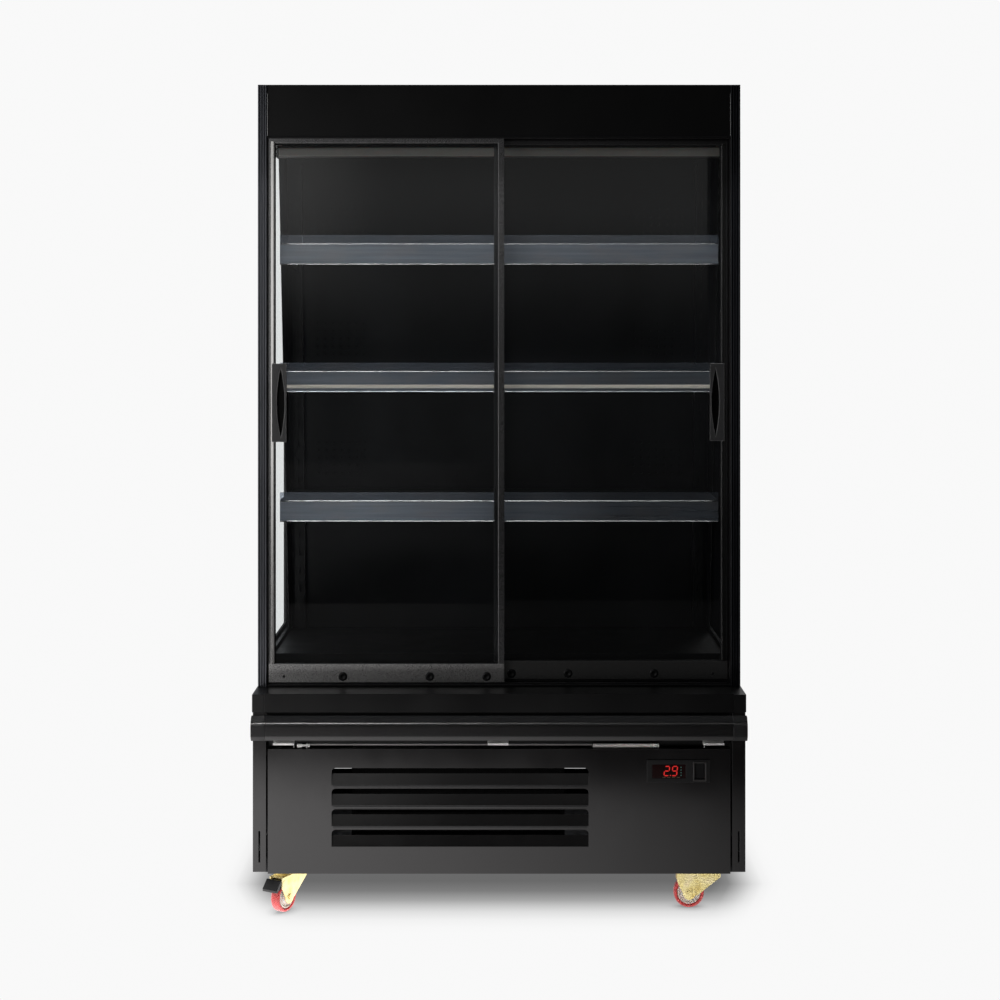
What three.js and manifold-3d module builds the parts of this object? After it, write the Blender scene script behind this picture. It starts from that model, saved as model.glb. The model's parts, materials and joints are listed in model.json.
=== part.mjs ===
// Refrigerated deli case: a black upright chilled display on castors, with two sliding glass doors,
// glazed ends, three shelves and a louvred machine compartment in the base.
// Millimetres, +Z up. The origin is on the floor under the middle of the case, and the front faces -Y.

import * as THREE from "three";
import { mergeVertices } from "three/addons/utils/BufferGeometryUtils.js";
import Module from "manifold-3d";

const wasm = await Module();
wasm.setup();

// ---------------------------------------------------------------- driving dimensions

const CASE = { width: 1200, depth: 700, height: 2030 };
const BODY_WIDTH = 1194; // the bumper stands 3 mm proud of the body on each side
const GAP = 0.3; // air left between two pieces that touch
const SHEET = 2; // folded sheet steel
const SKIN = 1.5; // each face of a foamed panel

// Depths, front to back.
const FRONT = -CASE.depth / 2;
const BACK = CASE.depth / 2;
const BASE_FRONT = FRONT + 15;
const DISPLAY_FRONT = BASE_FRONT + 93;
const BASE_BACK = BACK - 2;
const REAR_WALL_FRONT = BACK - 52;
const RETURN_SLOT_FRONT = -166; // where the track ends and the air return begins
const DECK_FRONT = -118;
const SHELF_FRONT = -105;

// Heights above the floor.
const CHASSIS_BOTTOM = 105;
const PANEL = { bottom: 106, top: 408 };
const BUMPER = { bottom: 430, top: 490 };
const LEDGE = { bottom: 497, top: 540 };
const DECK_TOP = 600;
const DOOR = { bottom: 550, top: 1916 };
const HEADER_BOTTOM = 1897;
const CEILING = 1888;
const ROOF_BOTTOM = 1976;
const SHELF_TOPS = { upper: 1645, middle: 1320, lower: 990 };

// Half widths from the middle of the case.
const HALF_BODY = BODY_WIDTH / 2;
const END_THICKNESS = 24;
const HALF_INSIDE = HALF_BODY - END_THICKNESS;
const HALF_PANEL = 560.5;
const HALF_SHELF = 558;

// The back of the display leans: its foot is deeper in the case than its head.
const LEAN = { footY: 262, footZ: DECK_TOP, slope: 112 / 1286 };
const LEAN_ANGLE = Math.atan(LEAN.slope);
const leanY = (z) => LEAN.footY - LEAN.slope * (z - LEAN.footZ);

// ---------------------------------------------------------------- materials

const paint = (color, roughness, metalness) => new THREE.MeshStandardMaterial({ color, roughness, metalness });

const MATERIALS = {
  blackPaint: paint(0x131314, 0.38, 0.1),
  satinBlack: paint(0x2a292a, 0.45, 0.2),
  blackPlastic: paint(0x101011, 0.5, 0),
  insidePaint: paint(0x151618, 0.45, 0.1),
  anodised: paint(0x3a3a3c, 0.35, 0.7),
  aluminium: paint(0x9a9691, 0.4, 0.9),
  galvanised: paint(0x8c8f92, 0.5, 0.8),
  yellowZinc: paint(0xd9b45c, 0.35, 0.85),
  redTread: paint(0xb23038, 0.5, 0),
  nylon: paint(0xc9c6c0, 0.55, 0),
  clearStrip: new THREE.MeshStandardMaterial({ color: 0x6d7583, roughness: 0.2, transparent: true, opacity: 0.5 }),
  glass: new THREE.MeshStandardMaterial({ color: 0xdfe6e6, roughness: 0.03, transparent: true, opacity: 0.25 }),
};

// ---------------------------------------------------------------- shape helpers

function toSolid(geometry) {
  const plain = geometry.clone();
  plain.deleteAttribute("normal");
  plain.deleteAttribute("uv");
  const merged = mergeVertices(plain, 1e-4);
  return new wasm.Manifold(
    new wasm.Mesh({
      numProp: 3,
      vertProperties: merged.attributes.position.array,
      triVerts: new Uint32Array(merged.index.array),
    }),
  );
}

function toGeometry(solid) {
  const mesh = solid.getMesh();
  const geometry = new THREE.BufferGeometry();
  geometry.setAttribute("position", new THREE.BufferAttribute(mesh.vertProperties, 3));
  geometry.setIndex(new THREE.BufferAttribute(mesh.triVerts, 1));
  geometry.computeVertexNormals();
  return geometry;
}

const cut = (base, ...tools) => toGeometry(tools.reduce((s, t) => s.subtract(toSolid(t)), toSolid(base)));
const join = (base, ...more) => toGeometry(more.reduce((s, m) => s.add(toSolid(m)), toSolid(base)));

// A box between two corners, given as [x0, x1], [y0, y1], [z0, z1].
function block([x0, x1], [y0, y1], [z0, z1]) {
  const box = new THREE.BoxGeometry(x1 - x0, y1 - y0, z1 - z0);
  return box.translate((x0 + x1) / 2, (y0 + y1) / 2, (z0 + z1) / 2);
}

// A box as wide as the case's inside, or any other half width, centred on x = 0.
const span = (half, ys, zs) => block([-half, half], ys, zs);

function shapeOf(points) {
  return points instanceof THREE.Shape ? points : new THREE.Shape(points.map(([a, b]) => new THREE.Vector2(a, b)));
}

// An outline in (x, y), raised from z0 to z1.
function raise(points, [z0, z1], curveSegments = 8) {
  const settings = { depth: z1 - z0, bevelEnabled: false, curveSegments };
  return new THREE.ExtrudeGeometry(shapeOf(points), settings).translate(0, 0, z0);
}

// An outline in (y, z), run along x from x0 to x1.
function runAlongX(points, [x0, x1], curveSegments = 8) {
  const turn = new THREE.Matrix4().makeBasis(
    new THREE.Vector3(0, 1, 0),
    new THREE.Vector3(0, 0, 1),
    new THREE.Vector3(1, 0, 0),
  );
  return raise(points, [0, x1 - x0], curveSegments).applyMatrix4(turn).translate(x0, 0, 0);
}

// An outline in (x, z), run along y from y0 to y1.
function runAlongY(points, [y0, y1], curveSegments = 8) {
  return raise(points, [0, y1 - y0], curveSegments).rotateX(Math.PI / 2).translate(0, y1, 0);
}

// Rods along y and z, centred on a point.
function rodY(radius, [y0, y1], x = 0, z = 0, segments = 24) {
  return new THREE.CylinderGeometry(radius, radius, y1 - y0, segments).translate(x, (y0 + y1) / 2, z);
}

function rodZ(radius, [z0, z1], x = 0, y = 0, segments = 24) {
  const rod = new THREE.CylinderGeometry(radius, radius, z1 - z0, segments).rotateX(Math.PI / 2);
  return rod.translate(x, y, (z0 + z1) / 2);
}

// Evenly spaced numbers, centred on a middle value.
const spaced = (count, pitch, middle = 0) =>
  Array.from({ length: count }, (_, i) => middle + (i - (count - 1) / 2) * pitch);

const model = new THREE.Group();
model.name = "refrigerated_deli_case";

function add(parent, name, geometry, material) {
  const mesh = new THREE.Mesh(geometry, material);
  mesh.name = name;
  parent.add(mesh);
  return mesh;
}

// The same shape on both ends of the case: as drawn on the left, and mirrored on the right.
function addPair(parent, name, geometry, material) {
  add(parent, `${name}_left`, geometry, material);
  add(parent, `${name}_right`, geometry, material).scale.x = -1;
}

// ---------------------------------------------------------------- base: chassis, skins and bumper

function chassisTray() {
  const wall = 3;
  const outside = span(590, [-318, 344], [CHASSIS_BOTTOM, 140]);
  return cut(outside, span(590 - wall, [-318 + wall, 344 - wall], [CHASSIS_BOTTOM + wall, 141]));
}

// The left side of the base: a sheet with a wide front return, whose slot takes a joining strip.
function baseSide() {
  const t = 3;
  const returns = { front: 32, back: 22 };
  const left = -HALF_BODY;
  const outline = [
    [left, BASE_FRONT],
    [left + returns.front, BASE_FRONT],
    [left + returns.front, BASE_FRONT + t],
    [left + t, BASE_FRONT + t],
    [left + t, BASE_BACK - t],
    [left + returns.back, BASE_BACK - t],
    [left + returns.back, BASE_BACK],
    [left, BASE_BACK],
  ];
  const sheet = raise(outline, [110, LEDGE.bottom - GAP]);
  const slot = block([left + 14, left + 18], [BASE_FRONT - 1, BASE_FRONT + t + 1], [134, 209]);
  return cut(sheet, slot);
}

function baseRearGrille() {
  const sheet = span(HALF_BODY - 22.5, [BASE_BACK - SHEET, BASE_BACK], [110, LEDGE.bottom - GAP]);
  const slots = [-280, 280].flatMap((x) =>
    spaced(7, 34, 300).map((z) => block([x - 190, x + 190], [BASE_BACK - 5, BASE_BACK + 5], [z - 6, z + 6])),
  );
  return cut(sheet, ...slots);
}

// One pressed louvre: a scoop that is deepest at its top edge, where a slot lets the air in behind the sheet.
const LOUVRE = { count: 4, pitch: 49.8, top: 362, height: 41, slot: 16, middleX: -94.5, width: 623, depth: 13 };

function louvreParts(top) {
  const { height, slot, middleX, width, depth } = LOUVRE;
  const [x0, x1] = [middleX - width / 2, middleX + width / 2];
  const bottom = top - height;
  const radius = 10;
  const window = new THREE.Shape();
  window.moveTo(x0, bottom);
  window.lineTo(x1, bottom);
  window.lineTo(x1, top - radius);
  window.absarc(x1 - radius, top - radius, radius, 0, Math.PI / 2);
  window.lineTo(x0 + radius, top);
  window.absarc(x0 + radius, top - radius, radius, Math.PI / 2, Math.PI);
  const opening = runAlongY(window, [BASE_FRONT - 1, BASE_FRONT + SHEET + 1], 4);
  const t = 1.5;
  const scoop = [
    [BASE_FRONT, bottom - 0.5],
    [BASE_FRONT + t, bottom - 0.5],
    [BASE_FRONT + depth + t, top - slot],
    [BASE_FRONT + depth, top - slot],
  ];
  const cheek = [
    [BASE_FRONT + SHEET - 0.5, bottom],
    [BASE_FRONT + depth + t, top - slot],
    [BASE_FRONT + depth + t, top + 1],
    [BASE_FRONT + SHEET - 0.5, top + 1],
  ];
  const cheeks = [
    [x0 - t, x0],
    [x1, x1 + t],
  ].map((xs) => runAlongX(cheek, xs));
  return { opening, solids: [runAlongX(scoop, [x0 - t, x1 + t]), ...cheeks] };
}

const CONTROLLER = { x: [358, 511], z: [328, 382] };
const SWITCH = { x: 486, z: 355, halfWidth: 11, halfHeight: 18 };

function frontPanel() {
  const outline = [
    [BASE_FRONT, PANEL.bottom],
    [BASE_FRONT + 15, PANEL.bottom],
    [BASE_FRONT + 15, PANEL.bottom + SHEET],
    [BASE_FRONT + SHEET, PANEL.bottom + SHEET],
    [BASE_FRONT + SHEET, PANEL.top - SHEET],
    [BASE_FRONT + 15, PANEL.top - SHEET],
    [BASE_FRONT + 15, PANEL.top],
    [BASE_FRONT, PANEL.top],
  ];
  const sheet = runAlongX(outline, [-HALF_PANEL, HALF_PANEL]);
  const louvres = Array.from({ length: LOUVRE.count }, (_, i) => louvreParts(LOUVRE.top - i * LOUVRE.pitch));
  const cutout = block(
    [CONTROLLER.x[0] + 5, CONTROLLER.x[1] - 5],
    [BASE_FRONT - 1, BASE_FRONT + SHEET + 1],
    [CONTROLLER.z[0] + 5, CONTROLLER.z[1] - 5],
  );
  const opened = cut(sheet, cutout, ...louvres.map((l) => l.opening));
  return join(opened, ...louvres.flatMap((l) => l.solids), ...louvreBeads());
}

// The sheet between two louvres is rolled slightly forward.
function louvreBeads() {
  const { count, pitch, top, height, middleX, width } = LOUVRE;
  const strip = pitch - height;
  return Array.from({ length: count - 1 }, (_, i) => {
    const low = top - (i + 1) * pitch;
    const bead = [
      [BASE_FRONT + 0.5, low + 0.6],
      [BASE_FRONT + 0.5, low + strip - 0.6],
      [BASE_FRONT - 1.6, low + strip - 2.6],
      [BASE_FRONT - 1.6, low + 2.6],
    ];
    return runAlongX(bead, [middleX - width / 2 + 4, middleX + width / 2 - 4]);
  });
}

// The controller: a proud bezel on a box that passes through the panel, with a well for the light switch.
function controllerBezel() {
  const { x, z } = CONTROLLER;
  const bezel = block(x, [BASE_FRONT - 4, BASE_FRONT - GAP], z);
  const box = block([x[0] + 6, x[1] - 6], [BASE_FRONT - 1, BASE_FRONT + 40], [z[0] + 6, z[1] - 6]);
  const display = block([x[0] + 12, x[0] + 94], [BASE_FRONT - 5, BASE_FRONT - 2.5], [z[0] + 10, z[1] - 10]);
  const well = block(
    [SWITCH.x - SWITCH.halfWidth - 1, SWITCH.x + SWITCH.halfWidth + 1],
    [BASE_FRONT - 5, BASE_FRONT + 14],
    [SWITCH.z - SWITCH.halfHeight - 1, SWITCH.z + SWITCH.halfHeight + 1],
  );
  return cut(join(bezel, box), display, well);
}

// The light switch rocks on a level axis, and rests with its lower half pressed in.
function lightSwitch() {
  const { halfWidth, halfHeight } = SWITCH;
  const outline = [
    [0, -halfHeight],
    [8, -halfHeight + 1],
    [8, halfHeight - 1],
    [0, halfHeight],
    [1.5, 0],
  ];
  return runAlongX(outline, [-halfWidth, halfWidth]).translate(0, -3, 0);
}

// The bumper rail: a bullnose section along the front, with a cheek that wraps each corner.
function bumperRail() {
  const [bottom, top] = [BUMPER.bottom, BUMPER.top];
  const back = BASE_FRONT - GAP;
  const nose = new THREE.Shape();
  nose.moveTo(back, bottom);
  nose.lineTo(FRONT + 7, bottom);
  nose.lineTo(FRONT, bottom + 11);
  nose.lineTo(FRONT, top - 26);
  nose.quadraticCurveTo(FRONT, top - 16, FRONT + 5, top - 12);
  nose.lineTo(back, top);
  const rail = runAlongX(nose, [-CASE.width / 2, CASE.width / 2], 5);
  const cheeks = [-1, 1].map((side) => {
    const xs = [side * (HALF_BODY + GAP), (side * CASE.width) / 2].sort((a, b) => a - b);
    return block(xs, [BASE_FRONT - 6, BASE_FRONT + 60], [bottom + 4, top - 8]);
  });
  return join(rail, ...cheeks);
}

// The foam-filled tub between base and display: a flange all round, a well for the evaporator, and an
// apron that hangs down in front to carry the bumper.
function insulatedTub() {
  const half = HALF_BODY + 2;
  const flange = span(half, [BASE_FRONT, BASE_BACK], [LEDGE.bottom, LEDGE.top]);
  const well = span(HALF_PANEL, [-200, 300], [425, LEDGE.bottom + 1]);
  const apron = span(HALF_PANEL, [BASE_FRONT + 19, BASE_FRONT + 31], [412, LEDGE.bottom + 1]);
  const hollow = span(530, [RETURN_SLOT_FRONT, LEAN.footY], [445, LEDGE.top + 1]);
  const seat = span(HALF_INSIDE - 3.7, [BASE_FRONT - 1, BASE_FRONT + 4], [LEDGE.bottom - 1, LEDGE.top + 1]);
  return cut(join(flange, well, apron), hollow, seat);
}

// The cover strip on the front of the ledge, with a lip folded back over its top.
function ledgeFascia() {
  const [y, t] = [BASE_FRONT - 1, 1.5];
  const outline = [
    [y, LEDGE.bottom],
    [y + t, LEDGE.bottom],
    [y + t, LEDGE.top + GAP],
    [DISPLAY_FRONT - 14, LEDGE.top + GAP],
    [DISPLAY_FRONT - 14, LEDGE.top + GAP + t],
    [y, LEDGE.top + GAP + t],
  ];
  return runAlongX(outline, [-(HALF_INSIDE - 4), HALF_INSIDE - 4]);
}

// ---------------------------------------------------------------- display body

// The glazed end as seen from inside, in (y, z): the back edge leans with the back of the display.
const END_WINDOW = { bottom: 609, top: 1884, front: -160, lowBack: 215, highBack: -4, glassBack: 296 };

function linerWindow() {
  const { bottom, top, front, lowBack, highBack } = END_WINDOW;
  const leaningEdge = (z) => lowBack - ((z - bottom) * (lowBack - highBack)) / (top - bottom);
  const radius = 8;
  const window = new THREE.Shape();
  window.moveTo(front + radius, bottom);
  window.lineTo(leaningEdge(bottom) - radius, bottom);
  window.quadraticCurveTo(leaningEdge(bottom), bottom, leaningEdge(bottom + radius), bottom + radius);
  window.lineTo(leaningEdge(top - radius), top - radius);
  window.quadraticCurveTo(leaningEdge(top), top, leaningEdge(top) - radius, top);
  window.lineTo(front + radius, top);
  window.absarc(front + radius, top - radius, radius, Math.PI / 2, Math.PI);
  window.lineTo(front, bottom + radius);
  window.absarc(front + radius, bottom + radius, radius, Math.PI, 1.5 * Math.PI);
  return window;
}

// Outside the liner the glass runs on to an upright back edge. `grow` enlarges the outline all round.
function glassOutline(grow = 0) {
  const { bottom, top, front, glassBack } = END_WINDOW;
  const radius = 8 + grow;
  const [left, right, low, high] = [front - grow, glassBack + grow, bottom - grow, top + grow];
  const outline = new THREE.Shape();
  outline.absarc(right - radius, low + radius, radius, -Math.PI / 2, 0);
  outline.absarc(right - radius, high - radius, radius, 0, Math.PI / 2);
  outline.absarc(left + radius, high - radius, radius, Math.PI / 2, Math.PI);
  outline.absarc(left + radius, low + radius, radius, Math.PI, 1.5 * Math.PI);
  return outline;
}

const END_GLASS = { thickness: 8, rebate: 9, liner: 2 };

function endFrame() {
  const outside = -HALF_BODY;
  const slab = block([outside, -HALF_INSIDE], [DISPLAY_FRONT, BACK], [LEDGE.top + GAP, CASE.height]);
  const middle = outside + END_THICKNESS / 2;
  const half = END_GLASS.thickness / 2 + GAP;
  const linerBack = -HALF_INSIDE - END_GLASS.liner;
  const opening = runAlongX(linerWindow(), [linerBack - 1, -HALF_INSIDE + 1], 4);
  const reveal = runAlongX(glassOutline(), [outside - 1, linerBack], 4);
  const groove = runAlongX(glassOutline(END_GLASS.rebate), [middle - half, middle + half], 4);
  const skinned = [outside + SKIN, -HALF_INSIDE - SKIN];
  const core = block(skinned, [DISPLAY_FRONT + 6, BACK - SKIN], [LEDGE.top - 1, CASE.height - SKIN]);
  const hollow = cut(core, runAlongX(glassOutline(END_GLASS.rebate + 3), [outside, -HALF_INSIDE], 4));
  const seams = [14, 19].map((x) =>
    block([outside + x, outside + x + 1.6], [DISPLAY_FRONT - 1, DISPLAY_FRONT + 2], [LEDGE.top, CASE.height + 1]),
  );
  return cut(slab, opening, reveal, groove, hollow, ...seams);
}

function endGlass() {
  const middle = -HALF_BODY + END_THICKNESS / 2;
  const half = END_GLASS.thickness / 2;
  return runAlongX(glassOutline(END_GLASS.rebate - 2), [middle - half, middle + half], 4);
}

// Foamed panels: two skins and their edges, open where another piece covers them.
function rearWall() {
  const half = HALF_INSIDE - GAP;
  const [low, high] = [LEDGE.top + GAP, ROOF_BOTTOM - GAP];
  const core = span(half - SKIN, [REAR_WALL_FRONT + SKIN, BACK - SKIN], [low - 1, high - SKIN]);
  return cut(span(half, [REAR_WALL_FRONT, BACK], [low, high]), core);
}

function roofPanel() {
  const half = HALF_INSIDE - GAP;
  const front = DISPLAY_FRONT + 3;
  const core = span(half - SKIN, [front - 1, BACK - SKIN], [ROOF_BOTTOM + SKIN, CASE.height - SKIN]);
  return cut(span(half, [front, BACK], [ROOF_BOTTOM, CASE.height]), core);
}

// The header is one sheet, with a folded hem along its lower edge.
function headerFascia() {
  const [front, back] = [DISPLAY_FRONT, DISPLAY_FRONT + 2.4];
  const outline = [
    [back, HEADER_BOTTOM],
    [back, CASE.height],
    [front, CASE.height],
    [front, HEADER_BOTTOM + 5],
    [front - 1.2, HEADER_BOTTOM + 4],
    [front - 1.2, HEADER_BOTTOM + 1],
    [front, HEADER_BOTTOM],
  ];
  return runAlongX(outline, [-(HALF_INSIDE - GAP), HALF_INSIDE - GAP]);
}

// The air duct under the roof: open at the back, where the air comes up, and along its front underside.
function canopyDuct() {
  const half = HALF_INSIDE - 1;
  const back = 136;
  const outside = span(half, [RETURN_SLOT_FRONT + 1, back], [CEILING, ROOF_BOTTOM - GAP]);
  const inside = span(half - 3, [RETURN_SLOT_FRONT + 4, back + 1], [CEILING + 3, ROOF_BOTTOM - 3]);
  const outlet = span(550, [-158, -126], [CEILING - 1, CEILING + 4]);
  return cut(outside, inside, outlet);
}

// The lamp under the ceiling: an aluminium section that holds the light strip.
function ledLamp() {
  const outline = [
    [-116, CEILING - GAP],
    [-116, CEILING - 20],
    [-109, CEILING - 27],
    [-92, CEILING - 27],
    [-84, CEILING - 16],
    [-84, CEILING - GAP],
  ];
  return runAlongX(outline, [-561, 561]);
}

// The leaning panel behind the shelves, with a patch of air holes on each side of the bays above a shelf.
// Drawn upright, and leaned by its group.
const PERFORATION = { hole: 6, pitch: 21, columns: 7, rows: 5, patchX: 430, patchHeights: [474, 800, 1110] };

function backDuctPanel() {
  const { hole, pitch, columns, rows, patchX, patchHeights } = PERFORATION;
  const sheet = span(HALF_INSIDE - 1, [0, SHEET], [3, 1374]);
  const half = hole / 2;
  const holes = patchHeights.flatMap((middle) =>
    [-patchX, patchX].flatMap((side) =>
      spaced(columns, pitch, side).flatMap((x) =>
        spaced(rows, pitch, middle).map((z) => block([x - half, x + half], [-3, 5], [z - half, z + half])),
      ),
    ),
  );
  return cut(sheet, ...holes);
}

// A slotted upright that the shelves hook into. Drawn upright, on the left.
function shelfUpright() {
  const [depth, wall, half] = [18, 2, 14];
  const channel = block([-half, half], [-depth, -GAP], [6, 1270]);
  const hollow = block([-half + wall, half - wall], [-depth + wall, 1], [5, 1271]);
  const slots = spaced(24, 50, 640).map((z) => block([-2, 2], [-depth - 1, -depth + wall + 1], [z - 9, z + 9]));
  return cut(channel, hollow, ...slots).translate(-544, 0, 0);
}

// ---------------------------------------------------------------- deck, shelves and price strips

function deckPanel() {
  const back = LEAN.footY - 4;
  const outline = [
    [DECK_FRONT, DECK_TOP],
    [DECK_FRONT, DECK_TOP - 26],
    [DECK_FRONT + SHEET, DECK_TOP - 26],
    [DECK_FRONT + SHEET, DECK_TOP - SHEET],
    [back, DECK_TOP - SHEET],
    [back, DECK_TOP],
  ];
  return runAlongX(outline, [-(HALF_INSIDE - 2), HALF_INSIDE - 2]);
}

// The air return behind the doors: a slotted step up to the deck.
function returnAirGrille() {
  const [low, high] = [LEDGE.top + GAP, DECK_TOP - SHEET - GAP];
  const [front, back] = [RETURN_SLOT_FRONT + 1, DECK_FRONT + SHEET + GAP];
  const outline = [
    [front - 4, low],
    [front - 4, low + 14],
    [back, low + 14],
    [back, high],
    [back + SHEET, high],
    [back + SHEET, low + 12],
    [front - 2, low + 12],
    [front - 2, low],
  ];
  const slots = spaced(22, 50).map((x) => block([x - 18, x + 18], [front + 6, back - 6], [low + 5, low + 20]));
  return cut(runAlongX(outline, [-(HALF_INSIDE - 2), HALF_INSIDE - 2]), ...slots);
}

// A shelf: a folded pan on two welded brackets whose back edges lean with the uprights.
function shelf(top) {
  const uprightFace = (z) => leanY(z) - 19.5;
  const [front, back] = [SHELF_FRONT, uprightFace(top) - 1];
  const pan = span(HALF_SHELF, [front, back], [top - 30, top]);
  const under = span(HALF_SHELF - SHEET, [front + SHEET, back - SHEET], [top - 31, top - SHEET]);
  const lighter = span(HALF_SHELF + 1, [front + 16, back + 1], [top - 31, top - 18]);
  const drop = 62;
  const bracket = [
    [front + 30, top - 1],
    [front + 30, top - 22],
    [back - 40, top - drop],
    [uprightFace(top - drop) - 1, top - drop],
    [back, top - 1],
  ];
  const brackets = [-546, 543].map((x) => runAlongX(bracket, [x, x + 3]));
  return join(cut(pan, under, lighter), ...brackets);
}

// The clear strip on a shelf's front edge, closed at both ends. It holds price cards, and its lip stops
// goods sliding off.
function priceStrip(top) {
  const [outer, inner, t] = [SHELF_FRONT - 9, SHELF_FRONT - GAP, 1.6];
  const [lip, foot] = [top + 19, top - 56];
  const outline = [
    [outer, foot],
    [inner, foot],
    [inner, top - 2],
    [inner - t, top - 2],
    [inner - t, foot + t],
    [outer + t, foot + t],
    [outer + t, lip],
    [outer, lip],
  ];
  const ends = [
    [-HALF_SHELF, -HALF_SHELF + 2],
    [HALF_SHELF - 2, HALF_SHELF],
  ].map((xs) => block(xs, [outer, inner], [foot, top - 2]));
  return join(runAlongX(outline, [-HALF_SHELF, HALF_SHELF]), ...ends);
}

// ---------------------------------------------------------------- sliding doors

const DOOR_SECTION = { width: 584, thickness: 22, stile: 15, topRail: 30, bottomRail: 46, glass: 5, rebate: 7 };
const DOOR_EDGE = HALF_INSIDE - 2; // where a closed door's outer stile stops
const DOOR_TRACKS = { left: DISPLAY_FRONT + 15, right: DISPLAY_FRONT + 55 };
const ROLLER = { radius: 12, width: 9, z: LEDGE.top + 8 + 12.5, inset: 60 };

// Both doors are drawn as the left one, centred on its own track at y = 0, and mirrored for the right.
const DOOR_X = [-DOOR_EDGE, -DOOR_EDGE + DOOR_SECTION.width];
const ROLLER_X = [DOOR_X[0] + ROLLER.inset, DOOR_X[1] - ROLLER.inset];

function doorFrame() {
  const { thickness, stile, topRail, bottomRail, glass, rebate } = DOOR_SECTION;
  const half = thickness / 2;
  const opening = { x: [DOOR_X[0] + stile, DOOR_X[1] - stile], z: [DOOR.bottom + bottomRail, DOOR.top - topRail] };
  const grown = (range, by) => [range[0] - by, range[1] + by];
  const slab = block(DOOR_X, [-half, half], [DOOR.bottom, DOOR.top]);
  const window = block(opening.x, [-half - 1, half + 1], opening.z);
  const groove = block(
    grown(opening.x, rebate),
    [-glass / 2 - GAP, glass / 2 + GAP],
    grown(opening.z, rebate),
  );
  const pockets = ROLLER_X.map((x) => block([x - 15, x + 15], [-5.5, 5.5], [DOOR.bottom - 1, ROLLER.z + 15]));
  const pins = ROLLER_X.map((x) => rodY(2.4, [-7, 7], x, ROLLER.z, 16));
  return join(cut(slab, window, groove, ...pockets), ...pins);
}

function doorGlass() {
  const { stile, topRail, bottomRail, glass, rebate } = DOOR_SECTION;
  const inset = stile - rebate + 1;
  return block(
    [DOOR_X[0] + inset, DOOR_X[1] - inset],
    [-glass / 2, glass / 2],
    [DOOR.bottom + bottomRail - rebate + 1, DOOR.top - topRail + rebate - 1],
  );
}

// A flush pull: a slim plate with a lens-shaped finger well, backed by a boss that reaches the glass.
function doorHandle() {
  const { thickness, stile, glass } = DOOR_SECTION;
  const [x0, x1] = [DOOR_X[0] + stile - 6, DOOR_X[0] + stile + 30];
  const [z0, z1] = [1146, 1340];
  const face = -thickness / 2;
  const plate = block([x0, x1], [face - 8, face - GAP], [z0, z1]);
  const boss = block([DOOR_X[0] + stile + 1, x1 - 2], [face - 1, -glass / 2 - GAP], [z0 + 6, z1 - 6]);
  const [left, right, middle] = [x0 + 12, x1 - 4, (z0 + z1) / 2];
  const lens = new THREE.Shape();
  lens.moveTo((left + right) / 2, z0 + 12);
  lens.quadraticCurveTo(right + 9, middle, (left + right) / 2, z1 - 12);
  lens.quadraticCurveTo(left - 9, middle, (left + right) / 2, z0 + 12);
  return cut(join(plate, boss), runAlongY(lens, [face - 9, -glass / 2 - 3], 10));
}

function doorRoller() {
  const { radius, width } = ROLLER;
  const half = width / 2;
  const profile = [
    [2.5, -half],
    [6, -half],
    [6.5, -half + 1],
    [radius - 1, -half + 1],
    [radius, -half + 2],
    [radius, half - 2],
    [radius - 1, half - 1],
    [6.5, half - 1],
    [6, half],
    [2.5, half],
    [2.5, -half],
  ];
  return new THREE.LatheGeometry(profile.map(([r, y]) => new THREE.Vector2(r, y)), 24);
}

function addDoor(side) {
  const door = new THREE.Group();
  door.position.y = DOOR_TRACKS[side];
  door.scale.x = side === "left" ? 1 : -1;
  add(door, `door_${side}_frame`, doorFrame(), MATERIALS.anodised);
  add(door, `door_${side}_glass`, doorGlass(), MATERIALS.glass);
  add(door, `door_${side}_handle`, doorHandle(), MATERIALS.blackPlastic);
  ["outer", "inner"].forEach((where, i) => {
    const roller = add(door, `door_${side}_${where}_roller`, doorRoller(), MATERIALS.nylon);
    roller.position.set(ROLLER_X[i], 0, ROLLER.z);
  });
  model.add(door);
}

// The sill track: a rib under each door for its rollers, between low lips.
function lowerTrack() {
  const [front, back] = [DISPLAY_FRONT + 2, RETURN_SLOT_FRONT - 6];
  const low = LEDGE.top + GAP;
  const plate = span(HALF_INSIDE - GAP, [front, back], [low, low + 2.5]);
  const ribs = Object.values(DOOR_TRACKS).map((y) =>
    span(HALF_INSIDE - GAP, [y - 2, y + 2], [low + 2, LEDGE.top + 8]),
  );
  const lips = [
    [front, front + 1.5],
    [back - 1.5, back],
  ].map((ys) => span(HALF_INSIDE - GAP, ys, [low + 2, low + 6]));
  return join(plate, ...ribs, ...lips);
}

// The head track: fins that keep each door's top upright, hung from the roof by the middle one.
function upperTrack() {
  const half = DOOR_SECTION.thickness / 2 + 2;
  const [front, back] = [DISPLAY_FRONT + 2.4 + GAP, DOOR_TRACKS.right + half + 2];
  const [fin, top] = [1900, 1940];
  const plate = span(HALF_INSIDE - GAP, [front, back], [top, top + 3]);
  const middle = span(HALF_INSIDE - GAP, [DOOR_TRACKS.left + half, DOOR_TRACKS.right - half], [fin, ROOF_BOTTOM - GAP]);
  const rear = span(HALF_INSIDE - GAP, [back - 2, back], [fin, top + 1]);
  return join(plate, middle, rear);
}

// ---------------------------------------------------------------- refrigeration

const FAN = { x: -100, z: 270, y: -205, radius: 112 };

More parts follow.
